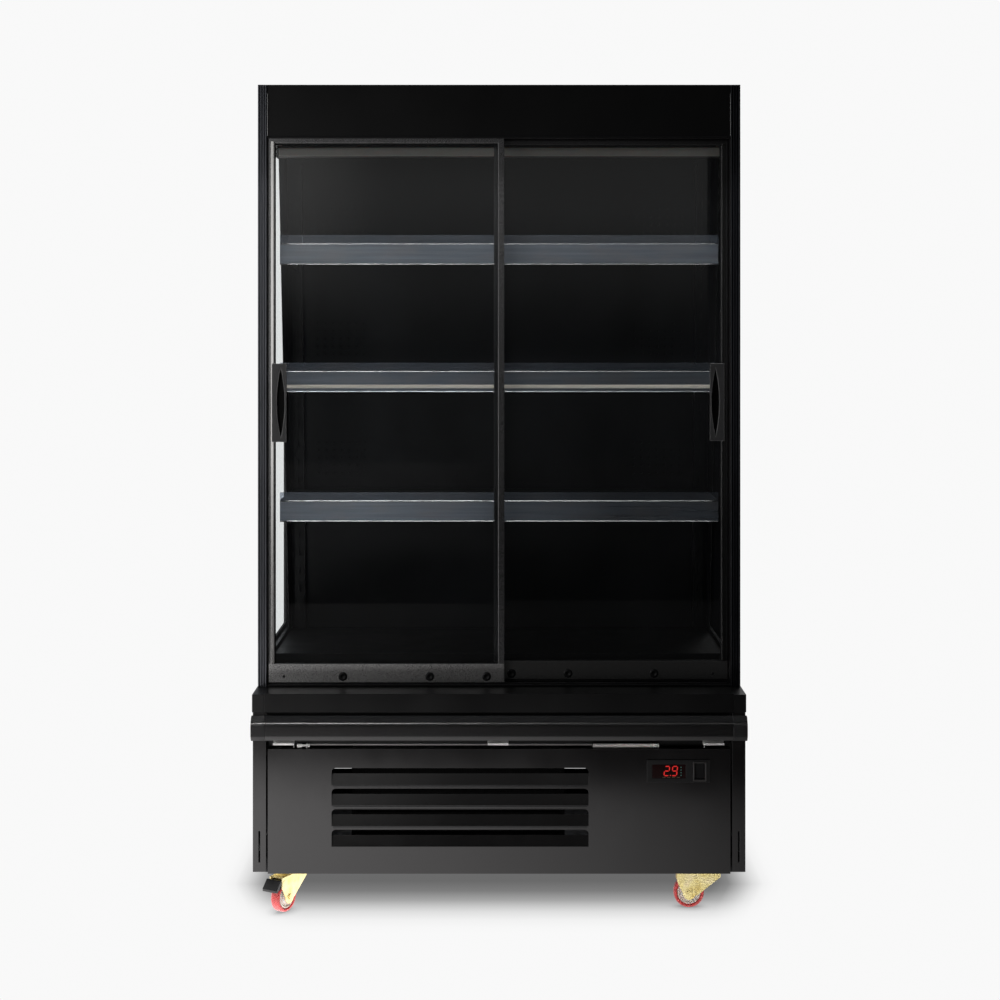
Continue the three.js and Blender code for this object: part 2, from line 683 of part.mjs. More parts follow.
// The compressor: a welded can on a flat foot, with its two pipe stubs.
function compressor() {
  const [x, y, foot] = [360, 120, 110];
  const radius = 78;
  const can = new THREE.Shape();
  can.moveTo(0, 0);
  can.lineTo(radius - 20, 0);
  can.quadraticCurveTo(radius, 0, radius, 26);
  can.lineTo(radius, 96);
  can.lineTo(radius + 4, 98);
  can.lineTo(radius + 4, 104);
  can.lineTo(radius, 106);
  can.lineTo(radius, 140);
  can.quadraticCurveTo(radius, 186, 0, 190);
  const body = new THREE.LatheGeometry(can.getPoints(6), 28).rotateX(Math.PI / 2).translate(x, y, foot + 12);
  const base = block([x - 95, x + 95], [y - 65, y + 65], [foot - 1.7, foot + 6]);
  const legs = spaced(2, 130).map((dx) => block([x + dx - 18, x + dx + 18], [y - 50, y + 50], [foot + 5, foot + 40]));
  const stubs = [-40, 40].map((dx) => rodZ(6, [foot + 150, foot + 215], x + dx, y, 12));
  return join(body, base, ...legs, ...stubs);
}

// Fin pack behind the louvres, standing on two feet.
function condenserCoil() {
  const pack = block([FAN.x - 260, FAN.x + 260], [-298, -240], [150, 398]);
  const feet = [-240, 240].map((dx) =>
    block([FAN.x + dx - 15, FAN.x + dx + 15], [-298, -240], [CHASSIS_BOTTOM + 3 + GAP, 151]),
  );
  const grooves = spaced(9, 27, 274).flatMap((z) =>
    [-299, -244].map((y) => block([FAN.x - 250, FAN.x + 250], [y, y + 5], [z - 2, z + 2])),
  );
  return cut(join(pack, ...feet), ...grooves);
}

// Shroud on the back of the coil, with a collar round the fan and arms that hold its motor.
function fanShroud() {
  const { x, z, radius } = FAN;
  const plate = block([x - 260, x + 260], [-239.5, -237], [150, 398]);
  const collar = cut(rodY(radius + 10, [-238, -190], x, z, 36), rodY(radius + 6, [-245, -180], x, z, 36));
  const opened = cut(plate, rodY(radius + 6, [-245, -230], x, z, 36));
  const motor = rodY(36, [-180, -120], x, z, 20);
  const shaft = rodY(4, [-214, -178], x, z, 12);
  const arms = [90, 210, 330].map((degrees) =>
    block([20, radius + 9], [-191, -174], [-5, 5])
      .rotateY(-THREE.MathUtils.degToRad(degrees))
      .translate(x, 0, z),
  );
  return join(opened, collar, motor, shaft, ...arms);
}

// Five pitched blades on a hub, drawn about the y axis.
function condenserFan() {
  const hub = cut(rodY(26, [-14, 12], 0, 0, 24), rodY(4.3, [-20, 20], 0, 0, 16));
  const blades = Array.from({ length: 5 }, (_, i) =>
    block([20, FAN.radius], [-1.2, 1.2], [-24, 24])
      .rotateX(THREE.MathUtils.degToRad(24))
      .rotateY((i * 2 * Math.PI) / 5),
  );
  return join(hub, ...blades);
}

function evaporatorCoil() {
  const pack = span(470, [30, 160], [460, 535]);
  const ends = [-1, 1].map((side) => span(2, [26, 164], [GAP + 445, 538]).translate(side * 471, 0, 0));
  const grooves = spaced(5, 14, 497).map((z) => span(460, [29, 34], [z - 2, z + 2]));
  return cut(join(pack, ...ends), ...grooves);
}

// ---------------------------------------------------------------- castors

const CASTOR = { trail: 40, wheelRadius: 37.5, wheelWidth: 25, axleRadius: 4, plateTop: CHASSIS_BOTTOM - GAP };
const BRAKE_PIN = { u: 63, z: 79, radius: 3 };
// Where each castor swivels, and which way its wheel trails, in degrees from +X.
const CASTORS = {
  front_left: { x: -508, y: -250, trailing: -120 },
  front_right: { x: 508, y: -250, trailing: 180 },
  rear_left: { x: -508, y: 258, trailing: 62 },
  rear_right: { x: 508, y: 258, trailing: 118 },
};

// The top plate stays square to the case. Four bolt heads show under it, around the ball race.
function castorPlate() {
  const top = CASTOR.plateTop;
  const plate = block([-48, 48], [-33, 33], [top - 3, top]);
  const race = rodZ(27, [top - 9, top - 2], 0, 0, 28);
  const bolts = [-38, 38].flatMap((x) => [-24, 24].map((y) => rodZ(6, [top - 7, top - 2], x, y, 6)));
  return join(plate, race, ...bolts);
}

// Fork, from the swivel head back to the axle. Local x is the trailing direction. Each leg is a plate
// beside the wheel, creased 2 mm inward where its gusset runs forward to the swivel head.
function castorFork(braked) {
  const { trail, wheelRadius: axleZ, axleRadius, plateTop } = CASTOR;
  const [headTop, headBottom] = [plateTop - 9 - GAP, plateTop - 15];
  const head = rodZ(30, [headBottom, headTop], 0, 0, 28);
  const bridge = block([-36, 65], [-19, 19], [headBottom - 3, headBottom + 0.5]);
  const sidePlate = new THREE.Shape();
  sidePlate.moveTo(24, headBottom);
  sidePlate.lineTo(24, axleZ - 4);
  sidePlate.absarc(trail, axleZ, 16, Math.PI * 1.08, Math.PI * 2);
  sidePlate.lineTo(69, 64);
  sidePlate.lineTo(71, headBottom);
  const gusset = [
    [-37, headBottom],
    [-37, 77],
    [20, 32],
    [26, 32],
    [26, headBottom],
  ];
  const sides = [-1, 1].flatMap((side) => [
    runAlongY(sidePlate, side < 0 ? [-19, -16] : [16, 19], 6),
    runAlongY(gusset, side < 0 ? [-17.2, -14.2] : [14.2, 17.2]),
  ]);
  const axle = rodY(axleRadius, [-22, 22], trail, axleZ, 24);
  const nuts = [-23, 18.5].map((y) => rodY(7.5, [y, y + 4.5], trail, axleZ, 6));
  const pin = braked ? [rodY(BRAKE_PIN.radius, [-20, 20], BRAKE_PIN.u, BRAKE_PIN.z, 24)] : [];
  return join(head, bridge, ...sides, axle, ...nuts, ...pin);
}

// The wheel: a stepped hub with a rounded tread, turned about its axle.
function castorWheel() {
  const { wheelRadius: r, wheelWidth, axleRadius } = CASTOR;
  const half = wheelWidth / 2;
  const bore = axleRadius + 0.08;
  const side = [
    [bore, half + 2.6],
    [10, half + 2.6],
    [13, 7],
    [25, 7],
    [28, half - 1.5],
    [r - 4, half],
    [r - 1, half - 2.5],
    [r, half - 6],
  ];
  const otherSide = [...side].reverse().map(([radius, y]) => [radius, -y]);
  const profile = [...side, ...otherSide, side[0]].reverse();
  return new THREE.LatheGeometry(profile.map(([radius, y]) => new THREE.Vector2(radius, y)), 32);
}

// The brake pedal: a wide tread outside the fork, on a narrow arm between the legs whose shoe bears on
// the wheel. Drawn pressed, with the shoe half a millimetre off the tread.
function brakePedal() {
  const { trail, wheelRadius } = CASTOR;
  const { u, z, radius } = BRAKE_PIN;
  const shoeRadius = wheelRadius + 0.5;
  const onWheel = (degrees) => [
    trail + shoeRadius * Math.cos(THREE.MathUtils.degToRad(degrees)),
    wheelRadius + shoeRadius * Math.sin(THREE.MathUtils.degToRad(degrees)),
  ];
  const arm = [
    [u - 6, z - 3],
    onWheel(48),
    onWheel(41),
    onWheel(34),
    [76, 62],
    [80, 76],
    [80, 84],
    [u + 2, z + 6],
    [u - 4, z + 5],
  ];
  const tread = [
    [77, 77],
    [91, 62],
    [96, 60],
    [97, 66],
    [80, 86],
    [77, 86],
  ];
  const bore = rodY(radius + 0.06, [-25, 25], u, z, 24);
  return cut(join(runAlongY(arm, [-12.5, 12.5]), runAlongY(tread, [-21.5, 21.5])), bore);
}

function addCastor(name, { x, y, trailing }) {
  const braked = name === "front_left";
  add(model, `castor_${name}_plate`, castorPlate(), MATERIALS.yellowZinc).position.set(x, y, 0);
  const swivel = new THREE.Group();
  swivel.position.set(x, y, 0);
  swivel.rotation.z = THREE.MathUtils.degToRad(trailing);
  add(swivel, `castor_${name}_fork`, castorFork(braked), MATERIALS.yellowZinc);
  const wheel = add(swivel, `castor_${name}_wheel`, castorWheel(), MATERIALS.redTread);
  wheel.position.set(CASTOR.trail, 0, CASTOR.wheelRadius);
  if (braked) add(swivel, `castor_${name}_brake_pedal`, brakePedal(), MATERIALS.blackPlastic);
  model.add(swivel);
}

// ---------------------------------------------------------------- assembly

add(model, "chassis_tray", chassisTray(), MATERIALS.galvanised);
addPair(model, "base_side", baseSide(), MATERIALS.blackPaint);
add(model, "base_rear_grille", baseRearGrille(), MATERIALS.blackPaint);
add(model, "front_panel", frontPanel(), MATERIALS.satinBlack);
add(model, "bumper_rail", bumperRail(), MATERIALS.blackPlastic);
add(model, "insulated_tub", insulatedTub(), MATERIALS.blackPaint);
add(model, "ledge_fascia", ledgeFascia(), MATERIALS.blackPaint);

add(model, "controller_bezel", controllerBezel(), MATERIALS.blackPlastic);
const rocker = add(model, "light_switch", lightSwitch(), MATERIALS.blackPlastic);
rocker.position.set(SWITCH.x, BASE_FRONT + 2, SWITCH.z);
rocker.rotation.x = THREE.MathUtils.degToRad(-7);

addPair(model, "end_frame", endFrame(), MATERIALS.blackPaint);
addPair(model, "end_glass", endGlass(), MATERIALS.glass);
add(model, "rear_wall", rearWall(), MATERIALS.blackPaint);
add(model, "roof_panel", roofPanel(), MATERIALS.blackPaint);
add(model, "header_fascia", headerFascia(), MATERIALS.blackPaint);
add(model, "canopy_duct", canopyDuct(), MATERIALS.insidePaint);
add(model, "led_lamp", ledLamp(), MATERIALS.aluminium);

const leaning = new THREE.Group();
leaning.position.set(0, LEAN.footY, LEAN.footZ);
leaning.rotation.x = LEAN_ANGLE;
add(leaning, "back_duct_panel", backDuctPanel(), MATERIALS.insidePaint);
addPair(leaning, "shelf_upright", shelfUpright(), MATERIALS.insidePaint);
model.add(leaning);

add(model, "deck_panel", deckPanel(), MATERIALS.insidePaint);
add(model, "return_air_grille", returnAirGrille(), MATERIALS.insidePaint);
for (const [level, top] of Object.entries(SHELF_TOPS)) {
  add(model, `shelf_${level}`, shelf(top), MATERIALS.insidePaint);
  add(model, `price_strip_${level}`, priceStrip(top), MATERIALS.clearStrip);
}

add(model, "lower_track", lowerTrack(), MATERIALS.anodised);
add(model, "upper_track", upperTrack(), MATERIALS.anodised);
addDoor("left");
addDoor("right");

add(model, "compressor", compressor(), MATERIALS.blackPaint);
add(model, "condenser_coil", condenserCoil(), MATERIALS.aluminium);
add(model, "fan_shroud", fanShroud(), MATERIALS.galvanised);
add(model, "condenser_fan", condenserFan(), MATERIALS.blackPlastic).position.set(FAN.x, FAN.y, FAN.z);
add(model, "evaporator_coil", evaporatorCoil(), MATERIALS.aluminium);

for (const [name, placing] of Object.entries(CASTORS)) addCastor(name, placing);

export default model;
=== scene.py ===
import json
import math

import bmesh
import bpy
from mathutils import Matrix, Vector


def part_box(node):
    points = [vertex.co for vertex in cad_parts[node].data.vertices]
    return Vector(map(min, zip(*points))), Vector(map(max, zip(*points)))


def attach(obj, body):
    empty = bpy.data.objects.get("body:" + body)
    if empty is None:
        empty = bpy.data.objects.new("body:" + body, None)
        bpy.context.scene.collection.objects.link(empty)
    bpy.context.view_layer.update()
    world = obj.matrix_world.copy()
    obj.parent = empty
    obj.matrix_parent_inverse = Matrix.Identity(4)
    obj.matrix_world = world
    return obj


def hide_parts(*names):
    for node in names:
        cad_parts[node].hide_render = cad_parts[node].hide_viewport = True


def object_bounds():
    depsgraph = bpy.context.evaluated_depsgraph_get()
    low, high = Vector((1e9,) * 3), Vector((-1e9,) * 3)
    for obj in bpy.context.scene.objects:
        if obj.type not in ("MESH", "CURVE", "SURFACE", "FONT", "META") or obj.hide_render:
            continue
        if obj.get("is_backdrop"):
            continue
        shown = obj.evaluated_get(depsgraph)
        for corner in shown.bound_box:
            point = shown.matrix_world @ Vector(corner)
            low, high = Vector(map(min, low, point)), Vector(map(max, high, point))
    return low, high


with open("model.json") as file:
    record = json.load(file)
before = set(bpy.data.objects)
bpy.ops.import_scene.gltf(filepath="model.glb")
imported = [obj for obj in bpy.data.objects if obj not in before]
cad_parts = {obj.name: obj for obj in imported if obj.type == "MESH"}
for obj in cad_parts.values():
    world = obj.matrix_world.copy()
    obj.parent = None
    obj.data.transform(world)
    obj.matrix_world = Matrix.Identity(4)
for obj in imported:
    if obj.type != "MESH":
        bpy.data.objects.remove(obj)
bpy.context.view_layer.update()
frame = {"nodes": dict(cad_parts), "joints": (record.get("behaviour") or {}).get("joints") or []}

# The refrigerated deli case in metres, +Z up, with its front facing -Y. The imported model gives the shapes
# and their places. This script adds the small visible pieces, the materials and the studio.

SIDES = {"left": -1, "right": 1}
CORNERS = ("front_left", "front_right", "rear_left", "rear_right")
LEVELS = ("upper", "middle", "lower")


# -------- node materials


class Shader:
    """The nodes of a material or world, its owner. Each method returns the output of the node it adds."""

    def __init__(self, owner, output="OutputMaterial"):
        self.owner = owner
        self.tree = owner.node_tree
        self.tree.nodes.clear()
        self.output = self.node(output)
        self.place = self.node("TexCoord").outputs["Object"]

    def node(self, kind, inputs=None, **settings):
        made = self.tree.nodes.new("ShaderNode" + kind)
        for key, value in settings.items():
            setattr(made, key, value)
        for key, value in (inputs or {}).items():
            if isinstance(value, bpy.types.NodeSocket):
                self.tree.links.new(value, made.inputs[key])
            else:
                made.inputs[key].default_value = value
        return made

    def maths(self, operation, a, b=0.0):
        return self.node("Math", {0: a, 1: b}, operation=operation).outputs[0]

    def spread(self, value, low, high, start=0.0, end=1.0, smooth=False):
        """Carries the range start to end over to low to high, and holds it there."""
        inputs = {"Value": value, "From Min": start, "From Max": end, "To Min": low, "To Max": high}
        kind = "SMOOTHSTEP" if smooth else "LINEAR"
        return self.node("MapRange", inputs, interpolation_type=kind).outputs["Result"]

    def ramp(self, value, stops):
        """A colour ramp through (position, colour) stops."""
        node = self.node("ValToRGB", {"Fac": value})
        elements = node.color_ramp.elements
        while len(elements) < len(stops):
            elements.new(0.5)
        for element, (position, colour) in zip(elements, stops):
            element.position = position
            element.color = rgba(colour)
        return node.outputs[0]

    def blend(self, factor, a, b):
        """Mixes two colours, which are the mix node's sockets 6 and 7, into its output 2."""
        return self.node("Mix", {0: factor, 6: a, 7: b}, data_type="RGBA").outputs[2]

    def stretched(self, stretch):
        return self.node("Mapping", {"Vector": self.place, "Scale": stretch}).outputs["Vector"]

    def noise(self, scale, detail=3.0, rough=0.5, stretch=(1, 1, 1)):
        inputs = {"Vector": self.stretched(stretch), "Scale": scale, "Detail": detail, "Roughness": rough}
        return self.node("TexNoise", inputs).outputs[0]

    def cells(self, scale):
        return self.node("TexVoronoi", {"Vector": self.place, "Scale": scale}).outputs

    def axis(self, letter, vector=None):
        parts = self.node("SeparateXYZ", {"Vector": vector or self.place})
        return parts.outputs[letter]

    def facing(self):
        return self.node("LayerWeight").outputs["Facing"]

    def edges(self, radius):
        """One along sharp edges, none on flat faces: how far a rounded normal turns from the true one."""
        rounded = self.node("Bevel", {"Radius": radius}, samples=3).outputs["Normal"]
        true = self.node("NewGeometry").outputs["Normal"]
        dot = self.node("VectorMath", {0: rounded, 1: true}, operation="DOT_PRODUCT").outputs["Value"]
        return self.spread(dot, 1.0, 0.0, 0.90, 0.995)

    def bump(self, height, distance):
        return self.node("Bump", {"Height": height, "Distance": distance}).outputs["Normal"]

    def principled(self, colour, roughness, normal=None, **extra):
        inputs = {"Base Color": colour, "Roughness": roughness}
        if normal is not None:
            inputs["Normal"] = normal
        inputs.update({key.replace("_", " "): value for key, value in extra.items()})
        return self.node("BsdfPrincipled", inputs).outputs[0]

    def mixed(self, factor, a, b):
        """Mixes two shaders."""
        return self.node("MixShader", {0: factor, 1: a, 2: b}).outputs[0]

    def surface(self, shader):
        self.tree.links.new(shader, self.output.inputs["Surface"])
        return self.owner


# Colour of paint's lighter edges: rubbed wear, and also a painted highlight.
RUBBED_AND_LIT_EDGE = (0.09, 0.09, 0.095)
SOFT_RIM = (0.07, 0.25, 0.0012)  # level, amount and width of a moulding's rubbed edge


def start_object(name, data):
    thing = bpy.data.objects.new(name, data)
    bpy.context.scene.collection.objects.link(thing)
    return thing


def start_material(name):
    material = bpy.data.materials.new(name)
    material.use_nodes = True
    return Shader(material)


def rgba(colour, brightness=1.0):
    return (*(channel * brightness for channel in colour), 1.0)


def grey(level):
    return rgba((level, level, level))


def coat(name, colour, roughness, specular=0.5, peel=0.00002, wear=0.5, smudge=0.08):
    """Powder coat or sprayed paint: orange peel, uneven gloss, and edges lighter: rubbed wear, and also a
    painted highlight along them.
    """
    s = start_material(name)
    cloud = s.noise(2.2, detail=5.0, rough=0.55)
    speck = s.noise(420.0, detail=2.0)
    base = s.blend(cloud, rgba(colour, 0.75), rgba(colour, 1.3))
    base = s.blend(s.spread(speck, 0.0, 0.35, 0.62, 0.8), base, rgba(colour, 2.2))
    scuffs = s.noise(38.0, detail=6.0, rough=0.7)
    # Lighter edges: rubbed wear, and also a painted highlight.
    rubbed = s.maths("MULTIPLY", s.edges(0.0012), s.spread(scuffs, 0.1, wear, 0.4, 0.7))
    base = s.blend(rubbed, base, rgba(RUBBED_AND_LIT_EDGE))
    hazy = s.noise(7.0, detail=4.0, rough=0.6, stretch=(1.0, 1.0, 0.6))
    rough = s.spread(hazy, roughness - smudge / 2, roughness + smudge, 0.3, 0.7)
    normal = s.bump(s.noise(310.0, detail=2.0), peel)
    return s.surface(s.principled(base, rough, normal, Specular_IOR_Level=specular))


def moulding(name, colour, roughness, grain=900.0, depth=0.00004, specular=0.45, rim=SOFT_RIM, well=None):
    """Fine-grained black moulding with a lighter rim (level, amount, width): rubbed wear, and on the door
    pulls a painted highlight. A well is the depth (y) behind which the part is painted darker and duller, as
    shade."""
    s = start_material(name)
    cloud = s.noise(14.0, detail=4.0)
    base = s.blend(cloud, rgba(colour, 0.7), rgba(colour, 1.4))
    pits = s.cells(grain)["Distance"]
    rim_level, rim_amount, rim_width = rim
    edge = s.edges(rim_width)
    rough = s.spread(cloud, roughness - 0.01, roughness + 0.02)
    rough = s.maths("SUBTRACT", rough, s.spread(edge, 0.0, 0.12))
    base = s.blend(s.spread(edge, 0.0, rim_amount), base, grey(rim_level))
    sheen = specular
    if well is not None:
        # Painted shade: behind the well's depth the part is darker and duller.
        inside = s.spread(s.axis("Y"), 0.0, 1.0, well, well + 0.001)
        base = s.blend(inside, base, rgba((0.0012, 0.0012, 0.0013)))
        sheen = s.spread(inside, specular, 0.12)
    return s.surface(s.principled(base, rough, s.bump(pits, depth), Specular_IOR_Level=sheen))


def brushed(name, colour, roughness, along="x", metallic=1.0, streak=0.14, edge_colour=(0.55, 0.55, 0.56)):
    """Brushed or extruded metal whose grain runs along x, y or z."""
    s = start_material(name)
    stretch = {"x": (1, 60, 60), "y": (60, 1, 60), "z": (60, 60, 1)}[along]
    grain = s.noise(9.0, detail=6.0, rough=0.7, stretch=stretch)
    cloud = s.noise(5.0, detail=3.0)
    base = s.blend(grain, rgba(colour, 1.0 - streak * 2), rgba(colour, 1.0 + streak * 2))
    base = s.blend(s.spread(cloud, 0.0, 0.3, 0.4, 0.7), base, rgba(colour, 0.7))
    edge = s.edges(0.0008)
    base = s.blend(s.spread(edge, 0.0, 0.5), base, rgba(edge_colour))
    rough = s.spread(grain, roughness - 0.06, roughness + 0.10, 0.3, 0.7)
    normal = s.bump(grain, 0.00003)
    return s.surface(s.principled(base, rough, normal, Metallic=metallic))


def satin_metal(name, colour, roughness, edge_colour=(0.5, 0.5, 0.5), foot=None):
    """Anodised aluminium without a visible grain, a little cloudy, with a painted highlight along its
    corners. A foot is a (height, colour): the part below that height takes that colour as a painted
    highlight."""
    s = start_material(name)
    cloud = s.noise(6.0, detail=4.0)
    fine = s.noise(900.0, detail=2.0)
    base = s.blend(cloud, rgba(colour, 0.8), rgba(colour, 1.2))
    if foot:
        height, foot_highlight_colour = foot
        # Painted highlight: below the foot's height the part takes a brighter colour.
        below = s.spread(s.axis("Z"), 1.0, 0.0, height - 0.0005, height + 0.0005)
        base = s.blend(below, base, s.blend(cloud, rgba(foot_highlight_colour, 0.85), rgba(foot_highlight_colour, 1.15)))
    # Painted highlight along the edges.
    base = s.blend(s.spread(s.edges(0.0008), 0.0, 0.4), base, rgba(edge_colour))
    rough = s.spread(fine, roughness - 0.02, roughness + 0.04, 0.3, 0.7)
    return s.surface(s.principled(base, rough, s.bump(fine, 0.000004), Metallic=1.0))


def galvanised(name):
    """Galvanised sheet with its spangle, dull, and darkened by painted shade."""
    s = start_material(name)
    spangle = s.cells(70.0)
    # Painted shade: the sheet's tone is kept very dark.
    tone = s.spread(s.axis("X", spangle["Color"]), 0.035, 0.075)
    base = s.node("CombineColor", {0: tone, 1: tone, 2: s.maths("MULTIPLY", tone, 1.05)}).outputs[0]
    rough = s.spread(s.axis("Y", spangle["Color"]), 0.4, 0.6)
    normal = s.bump(s.noise(60.0, detail=4.0), 0.0001)
    return s.surface(s.principled(base, rough, normal, Metallic=0.85))


def yellow_zinc(name):
    """Yellow passivated zinc plate: gold that drifts to rose and green, with painted shade in the creases."""
    s = start_material(name)
    drift = s.noise(34.0, detail=4.0, rough=0.6)
    stops = (
        (0.30, (0.78, 0.60, 0.20)),
        (0.45, (0.96, 0.82, 0.36)),
        (0.60, (0.98, 0.86, 0.48)),
        (0.75, (0.92, 0.66, 0.44)),
    )
    # Painted shade: darker in the creases, found by occlusion.
    crease_shade = s.node("AmbientOcclusion", {"Distance": 0.012}, samples=4).outputs["AO"]
    base = s.blend(s.spread(crease_shade, 0.65, 0.0, 0.2, 0.8), s.ramp(drift, stops), rgba((0.26, 0.18, 0.06)))
    base = s.blend(s.spread(s.edges(0.0009), 0.0, 0.5), base, rgba((0.95, 0.88, 0.66)))
    rough = s.spread(s.noise(90.0, detail=3.0), 0.32, 0.5)
    normal = s.bump(s.noise(420.0, detail=2.0), 0.00003)
    return s.surface(s.principled(base, rough, normal, Metallic=0.45))


def polyurethane(name):
    """Red castor tread: slightly translucent, scuffed and dusty where it rolls."""
    s = start_material(name)
    cloud = s.noise(45.0, detail=5.0, rough=0.65)
    base = s.blend(cloud, rgba((0.42, 0.030, 0.035)), rgba((0.66, 0.075, 0.070)))
    dust = s.spread(s.noise(160.0, detail=5.0, rough=0.7), 0.0, 0.30, 0.5, 0.72)
    base = s.blend(dust, base, rgba((0.62, 0.32, 0.29)))
    rough = s.spread(cloud, 0.38, 0.58)
    normal = s.bump(s.noise(240.0, detail=3.0), 0.00005)
    glow = {"Subsurface_Weight": 0.25, "Subsurface_Radius": (0.006, 0.002, 0.002), "Subsurface_Scale": 0.6}
    return s.surface(s.principled(base, rough, normal, **glow))


def plain_plastic(name, colour, roughness=0.45):
    """Pale or coloured nylon and rubber: a soft mottle and a fine skin."""
    s = start_material(name)
    cloud = s.noise(60.0, detail=4.0)
    base = s.blend(cloud, rgba(colour, 0.82), rgba(colour, 1.08))
    rough = s.spread(cloud, roughness - 0.05, roughness + 0.08)
    normal = s.bump(s.noise(700.0, detail=2.0), 0.00002)
    return s.surface(s.principled(base, rough, normal, Subsurface_Weight=0.1, Subsurface_Scale=0.002))


def sheet_glass(name, tint, most_reflection, haze, glancing_shade=0.0):
    """Flat glass that light passes straight through. The haze is dust and finger marks. With a glancing
    shade, a painted dark reflection makes the pane read black when seen almost edge on from inside, as it
    would against a dark room."""
    s = start_material(name)
    clear = s.node("BsdfTransparent", {"Color": rgba(tint)}).outputs[0]
    mirror = s.node("BsdfGlossy", {"Color": grey(1), "Roughness": 0.02}).outputs[0]
    fresnel = s.node("Fresnel", {"IOR": 1.45}).outputs[0]
    amount = s.maths("MINIMUM", fresnel, most_reflection)
    pane = s.mixed(amount, clear, mirror)
    marks = s.noise(5.0, detail=6.0, rough=0.62, stretch=(1.0, 1.0, 0.5))
    dust = s.node("BsdfDiffuse", {"Color": rgba((0.8, 0.85, 0.95))}).outputs[0]
    pane = s.mixed(s.spread(marks, haze * 0.3, haze, 0.35, 0.7), pane, dust)
    if glancing_shade:
        # Painted dark reflection at glancing views.
        dark = s.node("BsdfDiffuse", {"Color": rgba((0.004, 0.004, 0.005))}).outputs[0]
        pane = s.mixed(s.spread(s.facing(), 0.0, glancing_shade, 0.78, 0.86), pane, dark)
    return s.surface(pane)


def clear_strip(name, lip, left, right):
    """Clear extruded plastic: smoky over the card channel, clearer above the height of its lip, and bright
    along its cut edges. A painted shade takes its tone from the left level to the right one."""
    s = start_material(name)
    streaks = s.noise(3.0, detail=6.0, rough=0.6, stretch=(1.0, 40.0, 40.0))
    patches = s.noise(11.0, detail=3.0, rough=0.6, stretch=(1.0, 3.0, 3.0))
    clear = s.node("BsdfTransparent", {"Color": rgba((0.80, 0.83, 0.88))}).outputs[0]
    tint = s.blend(streaks, rgba((0.19, 0.215, 0.26)), rgba((0.29, 0.32, 0.37)))
    tint = s.blend(s.spread(patches, 0.0, 0.5, 0.45, 0.65), tint, rgba((0.30, 0.29, 0.31)))
    # Painted shade: the tint darkens from the left level to the right one.
    tone = s.spread(s.axis("X"), left, right, -0.35, 0.30)
    tint = s.node("HueSaturation", {"Color": tint, "Value": tone}).outputs[0]
    body = s.principled(tint, s.spread(streaks, 0.10, 0.24), s.bump(streaks, 0.0001), Specular_IOR_Level=0.6)
    edge = s.edges(0.0009)
    below = s.spread(s.axis("Z"), 1.0, 0.30, lip, lip + 0.001)
    solid = s.maths("MULTIPLY", below, s.spread(streaks, 0.78, 0.94, 0.3, 0.7))
    solid = s.maths("MAXIMUM", solid, s.spread(edge, 0.0, 0.95))
    return s.surface(s.mixed(solid, clear, body))


def diffuser(name):
    """Frosted lamp cover, unlit."""
    s = start_material(name)
    cloud = s.noise(30.0, detail=3.0)
    base = s.blend(cloud, rgba((0.30, 0.285, 0.26)), rgba((0.38, 0.36, 0.33)))
    normal = s.bump(s.noise(600.0), 0.00003)
    rough = s.spread(cloud, 0.35, 0.5)
    return s.surface(s.principled(base, rough, normal, Subsurface_Weight=0.3, Subsurface_Scale=0.004))


def card(name):
    """Cream card behind the clear strip."""
    s = start_material(name)
    fibre = s.noise(240.0, detail=5.0, rough=0.7, stretch=(0.3, 1, 1))
    base = s.blend(fibre, rgba((0.78, 0.72, 0.64)), rgba((0.92, 0.87, 0.79)))
    return s.surface(s.principled(base, s.spread(fibre, 0.75, 0.9), s.bump(fibre, 0.00008)))


def dark_lens(name):
    """Smoked red acrylic over the display."""
    s = start_material(name)
    cloud = s.noise(80.0, detail=3.0)
    base = s.blend(cloud, rgba((0.012, 0.003, 0.003)), rgba((0.022, 0.005, 0.005)))
    rough = s.spread(cloud, 0.10, 0.18)
    return s.surface(s.principled(base, rough, s.bump(cloud, 0.00001), Specular_IOR_Level=0.5))


def glowing(name, colour, strength):
    """A lit segment or indicator, a little uneven across its face. On the unlit keys it is a faint painted
    glow.
    """
    s = start_material(name)
    cloud = s.noise(260.0, detail=2.0)
    uneven = s.spread(cloud, strength * 0.7, strength)
    glow = s.node("Emission", {"Color": rgba(colour), "Strength": uneven}).outputs[0]
    skin = s.principled(rgba(colour, 0.3), s.spread(cloud, 0.2, 0.35), s.bump(cloud, 0.00002))
    return s.surface(s.node("AddShader", {0: glow, 1: skin}).outputs[0])


def fin_pack(name, valley_shade, ridge, dusty):
    """Coil of close upright fins with painted shade in the valleys between them, and dust caught between
    them. On the condenser coil every colour, the dust too, is painted shade.
    """
    s = start_material(name)
    bands = {"Vector": s.place, "Scale": 80.0, "Distortion": 0.6, "Detail": 2.0}
    fins = s.node("TexWave", bands, bands_direction="X").outputs["Fac"]
    dust = s.noise(25.0, detail=5.0)
    base = s.blend(fins, rgba(valley_shade), rgba(ridge))
    base = s.blend(s.spread(dust, 0.0, 0.5, 0.45, 0.75), base, rgba(dusty))
    return s.surface(s.principled(base, s.spread(dust, 0.35, 0.6), s.bump(fins, 0.0008), Metallic=0.8))


